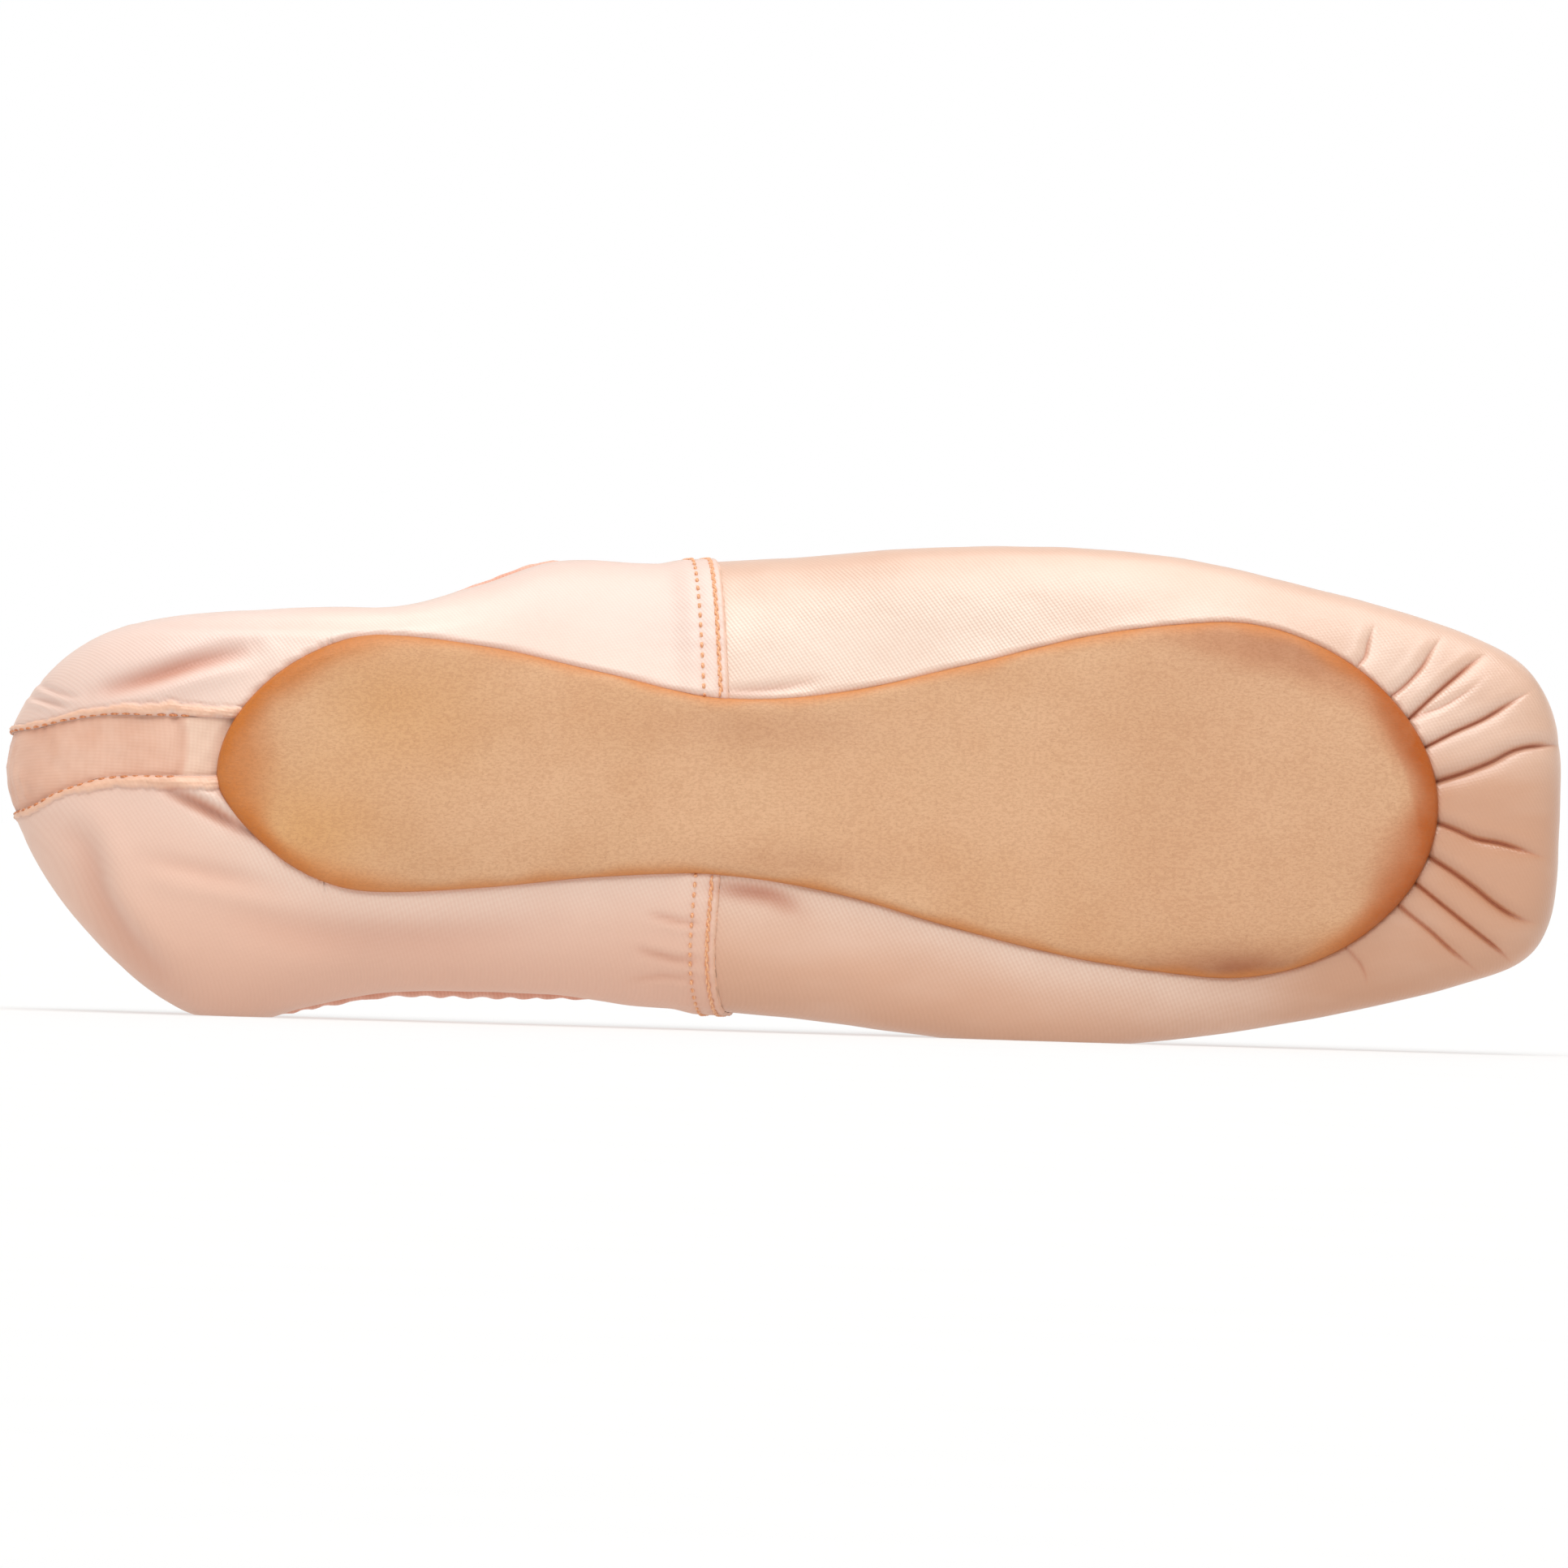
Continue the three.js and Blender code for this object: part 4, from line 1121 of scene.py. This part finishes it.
def plate(name, shape, top, thickness, rings, material, attributes_of):
    """A closed plate: its upper face, its edge and its lower face, in rings round a spine."""
    spine, direction, reach_out = outline(*shape)
    beside = np.linspace(0, PLATE_RIM, rings // 2)
    within = np.linspace(PLATE_RIM, SOLE_REACH, rings - rings // 2 + 1)[1:]
    inward = np.concatenate([beside, within])
    inward = inward[: np.argmax(inward > reach_out.max()) + 1]
    radius = np.maximum(reach_out[None, :] - inward[:, None], 0)
    x = spine[None, :] + direction[None, :, 0] * radius
    y = direction[None, :, 1] * radius
    depth = np.minimum(inward[:, None], reach_out[None, :])
    upper = np.stack([x, y, top(x, y)], axis=-1)
    lower = upper.copy()
    lower[..., 2] -= thickness(depth, x, y)
    grid = np.concatenate([upper[::-1], lower])
    index = np.arange(grid.shape[0] * grid.shape[1]).reshape(grid.shape[:2])
    faces = quads(np.concatenate([index, index[:, :1]], axis=1), "adcb")
    values = attributes_of(np.concatenate([depth[::-1], depth]), grid[..., 0], grid[..., 1])
    piece = build(name, grid, faces, [material], values)
    weld(piece)
    return piece


def weld(piece):
    """Joins the points that fall together along a plate's spine."""
    mesh = bmesh.new()
    mesh.from_mesh(piece.data)
    bmesh.ops.remove_doubles(mesh, verts=mesh.verts, dist=1e-6)
    bmesh.ops.dissolve_degenerate(mesh, edges=mesh.edges, dist=1e-7)
    bmesh.ops.recalc_face_normals(mesh, faces=mesh.faces)
    mesh.to_mesh(piece.data)
    mesh.free()


STAINS = (  # rubbed-in marks: x, y, length, width and strength
    (200.0, 24.8, 17.0, 3.4, 0.75),
    (184.0, 26.0, 12.0, 2.6, 0.5),
    (199.0, -24.6, 16.0, 4.5, 0.45),
    (214.0, 13.0, 5.0, 7.0, 0.3),
    (118.0, -9.5, 16.0, 3.0, 0.25),
    (120.0, 11.0, 16.0, 2.6, 0.25),
)
# The edge of the forefoot's paler middle, on the right side.
WORN_EDGE = {"x": (165, 171.6, 194.3, 212.1, 217.5, 220), "y": (-26, -24.7, -20.3, -12.1, 0.3, 14)}


def sole_marks(depth, x, y):
    """The leather's tones: the burnished rim, the forefoot's paler middle, rubbed-in stains and yellowed
    spots."""
    heel = 1 - smoothstep(x, 38, 66)
    toe = smoothstep(x, 196, 216)
    width = (1.0 + 4.2 * heel + 3.7 * toe) * (1 + 0.3 * flat_ripple(x, y, 14, 41))
    rim = hump(depth, 0, np.maximum(width, 0.3)) * (0.75 + 0.25 * np.maximum(heel, toe))
    stain = sum(strength * spot(x, y, *mark) for *mark, strength in STAINS)
    within = y - between(WORN_EDGE, "x", x, "y") - 0.6 * flat_ripple(x, y, 11, 42)
    pale = smoothstep(x, 158, 184) * smoothstep(within, -1.6, 1.8) * smoothstep(depth, 2.0, 8.0)
    tan = smoothstep(x, 166, 190) * (1 - smoothstep(within, -1.8, 1.6)) * (1 - smoothstep(y, 2, 14))
    yellow = spot(x, y, 46, 9, 12, 9) + 0.7 * spot(x, y, 60, -10, 14, 9)
    marks = dict(rim=rim, ends=np.maximum(0.3 * heel, toe), stain=np.clip(stain, 0, 1))
    return {**marks, "pale": pale, "yellow": yellow, "tan": tan}


EDGE_ROUND = 0.45  # how far in the leather's cut edge is rounded
SOCK_ROUND = 0.8


def make_outsole(material):
    def top(x, y):
        return underside(x, y) - GAP

    def thickness(depth, x, y):
        grown = SOLE_EDGE_THICK + (SOLE_THICK - SOLE_EDGE_THICK) * quarter_round(depth / SOLE_BEVEL)
        uneven = 0.06 * flat_ripple(x, y, 30, 51) * smoothstep(depth, 2, 8)
        return grown * (0.35 + 0.65 * quarter_round(depth / EDGE_ROUND)) + uneven

    piece = plate("leather_sole", (0.0, 1000), top, thickness, 60, material, sole_marks)
    finish_piece(piece, "leather", "outsole")


def make_insole(material):
    def top(x, y):
        return underside(x, y) + wall_at(x) + INSOLE_GAP + INSOLE_THICK

    def thickness(depth, x, y):
        return INSOLE_THICK * quarter_round(np.maximum(depth / SOCK_ROUND, 0.05))

    def tread_wear_and_edge_shade(depth, x, y):
        # The shade attribute here holds real wear under the heel and the ball, and painted shade along the
        # rounded edge.
        tread = spot(x, y, 52, 0, 16, 11) + spot(x, y, 172, 0, 20, 15)
        return {"shade": 0.5 * tread + 0.35 * hump(depth, 0, 0.6)}

    piece = plate("sock", (INSOLE_INSET, 480, INSOLE_SHARE), top, thickness, 26, material, tread_wear_and_edge_shade)
    finish_piece(piece, "canvas", "insole")


# ---- Stitches
STITCH_SIDES = 7
STITCH_RINGS = 7


def stitch_run(points, normals, pitch, length, radius, phase=0.0, slant=0.0):
    """Short threads laid along a path: rings of points and faces for all of them together. phase moves them
    along by a share of the pitch, and slant turns each one's ends to either side of the path."""
    along = lengths(points)
    verts, faces = [], []

    def at(values, where):
        return np.stack([np.interp(where, along, values[:, k]) for k in range(3)], -1)

    share = np.linspace(-1, 1, STITCH_RINGS)
    arch = radius * (1.1 * (1 - share**2) - 0.35)
    thick = radius * np.sqrt(np.clip(1.02 - np.abs(share) ** 3, 0.02, 1))
    for n in range(int(along[-1] / pitch)):
        where = (n + 0.5 + phase) * pitch + np.linspace(-0.5, 0.5, STITCH_RINGS) * length
        if where[0] < 0 or where[-1] > along[-1]:
            continue
        middle = at(points, where)
        normal = unit(at(normals, where))
        side = unit(np.cross(unit(np.gradient(middle, axis=0)), normal))
        middle = middle + normal * arch[:, None] + side * (slant * share)[:, None]
        base = len(verts)
        for r in range(STITCH_RINGS):
            for k in range(STITCH_SIDES):
                angle = TAU * k / STITCH_SIDES
                verts.append(middle[r] + (side[r] * math.cos(angle) + normal[r] * math.sin(angle)) * thick[r])
        for r in range(STITCH_RINGS - 1):
            for k in range(STITCH_SIDES):
                a = base + r * STITCH_SIDES + k
                b = base + r * STITCH_SIDES + (k + 1) % STITCH_SIDES
                faces.append((a, b, b + STITCH_SIDES, a + STITCH_SIDES))
        faces.append(tuple(range(base, base + STITCH_SIDES))[::-1])
        faces.append(tuple(range(len(verts) - STITCH_SIDES, len(verts))))
    return verts, faces


def join_runs(name, runs, material, slot):
    verts, faces = [], []
    for run_verts, run_faces in runs:
        start = len(verts)
        verts += run_verts
        faces += [tuple(i + start for i in f) for f in run_faces]
    finish_piece(build(name, np.array(verts), faces, [material]), slot)


def seam_path(side, behind, lift):
    """A line on the quarter, behind its folded front edge, from the outsole up to the collar."""
    height = np.linspace(0.22, 1.96, 260)
    points, _, _, normal, _ = cloth(behind_seam(height, side, behind), height)
    points = points + normal * lift
    points[:, 1] = np.minimum(points[:, 1], PRESSED_SIDE - 0.05)
    return points, normal


def strip_path(side, off, lift):
    """A line on the quarter's rolled seam, off the strip's edge."""
    height = np.linspace(0.3, 1.95, 300)
    edge = strip_edge(height, side)
    here = surface(edge, height)
    ahead = surface(edge - side * 0.05, height)
    per_mm = 0.05 / np.maximum(np.linalg.norm(ahead - here, axis=-1), 1e-6)
    points, _, _, normal, _ = cloth(edge - side * off * per_mm, height)
    return points + normal * lift, normal


CHAIN_HALF = 0.11  # the chain's two threads lie this far to either side of their row
CHAIN_SLANT = 0.13


def make_stitches(orange, brown):
    """The side seams' chain and plain rows, and the row that holds each rolled seam to the strip."""
    seams = []
    heel = []
    for side in (1, -1):
        for ply in (-1, 1):
            path = seam_path(side, SEAM_ROWS[0] + CHAIN_HALF * ply, SEAM_LIFT - 0.12)
            shape = STITCH_PITCH * CHAIN_OVERLAP, THREAD * 0.85, 0.25 * (ply + 1), CHAIN_SLANT * ply
            seams.append(stitch_run(*path, STITCH_PITCH, *shape))
        path = seam_path(side, SEAM_ROWS[1], SEAM_LIFT - 0.16)
        seams.append(stitch_run(*path, STITCH_PITCH, STITCH_PITCH * 0.62, THREAD * 1.1))
        heel.append(stitch_run(*strip_path(side, 0.25, -0.12), PUCKER, PUCKER * 0.78, 0.2))
    join_runs("side_seam_stitches", seams, orange, "satin")
    join_runs("heel_seam_stitches", heel, brown, "elastic")


# ---- Build everything
def sole_lowest():
    """The height of the CAD outsole's lowest point, standing."""
    x, across = np.meshgrid(np.linspace(SOLE_HEEL, SOLE_TOE, 600), np.linspace(-1, 1, 41))
    y = across * sole_half(x, np.where(across > 0, 1, -1))
    margin = np.minimum.reduce([(1 - np.abs(across)) * sole_half(x, 1), x - SOLE_HEEL, SOLE_TOE - x])
    thick = SOLE_EDGE_THICK + (SOLE_THICK - SOLE_EDGE_THICK) * np.clip(margin / SOLE_BEVEL, 0, 1)
    return (underside(x, y) - GAP - thick).min()


# The frame's middle lies this far above the floor that the shoe would stand on.
FLOOR_TO_MIDDLE = sole_lowest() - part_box("outsole")[0].y / MM

# Each satin's light, deep and dark tones are lit and shaded copies of one colour. Light shows on the side that
# faces up; deep and dark are painted shade lower down, by the floor and at the toe, and also tone the threads
# and clouds.
VAMP_TONES = (221, 184, 161), (225, 177, 148), (196, 142, 108)
QUARTER_TONES = (233, 210, 199), (232, 190, 167), (216, 164, 138)
vamp_satin = satin_cloth("vamp_satin", *VAMP_TONES, 0.52, 0.33, 0.20, 0.9, 0.5)
quarter_satin = satin_cloth("quarter_satin", *QUARTER_TONES, 0.50, 0.44, 0.30, 0.7, 0.15)
lining = lining_cloth()
make_vamp(vamp_satin, lining)
make_quarter(1, quarter_satin, lining)
make_quarter(-1, quarter_satin, lining)
make_strip(elastic(), lining)
make_binding(tape())
make_outsole(sole_leather())
make_insole(sock_cloth())
seam_thread = thread("seam_thread", (242, 190, 148), (226, 154, 108))
make_stitches(seam_thread, thread("strip_thread", (224, 150, 102), (196, 118, 72)))


# ---- Floor, light and camera
FLOOR_HALF = 30.0
# The floor's own glow: painted light.
FLOOR_GLOW = 0.6


def make_stage():
    """A wide, pale table top of matt paper. It glows by itself though it is no lamp: painted light that lights
    the shoe from below and fades its shadow on the table.
    """
    data = bpy.data.meshes.new("paper_floor")
    corners = ((-1, -1), (1, -1), (1, 1), (-1, 1))
    data.from_pydata([(FLOOR_HALF * x, FLOOR_HALF * y, 0.0) for x, y in corners], [], [(0, 1, 2, 3)])
    s = Shader("floor_paper")
    color = s.mix(s.noise(40.0, 2.0), (150, 150, 149), (147, 147, 146))
    bumps = ((s.noise(1.5, 2.0), 0.02, 0.1),)
    data.materials.append(s.finish(color, 0.9, bumps, Specular_IOR_Level=0.1, Emission_Strength=FLOOR_GLOW))
    piece = bpy.data.objects.new("paper_floor", data)
    bpy.context.scene.collection.objects.link(piece)


def make_world():
    """A studio whose walls are white at the level of the floor and dimmer higher up."""
    world = bpy.data.worlds.new("studio")
    world.use_nodes = True
    tree = world.node_tree
    place = tree.nodes.new("ShaderNodeTexCoord")
    split = tree.nodes.new("ShaderNodeSeparateXYZ")
    fade = tree.nodes.new("ShaderNodeMapRange")
    fade.interpolation_type = "SMOOTHSTEP"
    for key, value in (("From Min", 0.06), ("From Max", 0.3), ("To Min", 1.0), ("To Max", 0.22)):
        fade.inputs[key].default_value = value
    tree.links.new(place.outputs["Generated"], split.inputs[0])
    tree.links.new(split.outputs["Z"], fade.inputs["Value"])
    tree.nodes["Background"].inputs["Color"].default_value = (1, 1, 1, 1)
    tree.links.new(fade.outputs["Result"], tree.nodes["Background"].inputs["Strength"])
    bpy.context.scene.world = world


def sun_light(name, lean, strength, softness, color):
    """A broad light from above, which leans by some degrees towards +X and towards the front."""
    data = bpy.data.lights.new(name, "SUN")
    data.energy = strength
    data.angle = math.radians(softness)
    data.color = color
    lamp = bpy.data.objects.new(name, data)
    lamp.rotation_euler = (math.radians(lean[1]), math.radians(lean[0]), 0)
    bpy.context.scene.collection.objects.link(lamp)


make_stage()
make_world()
sun_light("key", (-8, 42), 1.5, 35.0, (1.0, 0.99, 0.98))
sun_light("top", (5, 6), 1.85, 50.0, (1.0, 1.0, 1.0))
sun_light("back", (0, -50), 0.5, 60.0, (1.0, 1.0, 1.0))

scene = bpy.context.scene
scene.view_settings.view_transform = "Standard"
scene.view_settings.look = "None"

CAMERA_AWAY = 5.0  # a long lens, far off, as the picture shows hardly any perspective
VIEW_WIDE = 0.2425  # width of the view at the shoe
VIEW_ROLL = math.radians(1.738)
AIM_X = 0.3  # the point looked at, in millimetres
AIM_Z = 38.4
SENSOR = 36.0

camera_data = bpy.data.cameras.new("camera")
camera = bpy.data.objects.new("camera", camera_data)
right = Vector((math.cos(VIEW_ROLL), 0, math.sin(VIEW_ROLL)))
up = Vector((-math.sin(VIEW_ROLL), 0, math.cos(VIEW_ROLL)))
back = right.cross(up)
camera.matrix_world = Matrix.Translation((AIM_X * MM, -CAMERA_AWAY, AIM_Z * MM)) @ Matrix(
    (right, up, back)
).transposed().to_4x4()
camera_data.sensor_width = SENSOR
camera_data.lens = SENSOR * CAMERA_AWAY / VIEW_WIDE
camera_data.clip_end = 20.0
scene.collection.objects.link(camera)
scene.camera = camera

bpy.context.view_layer.update()
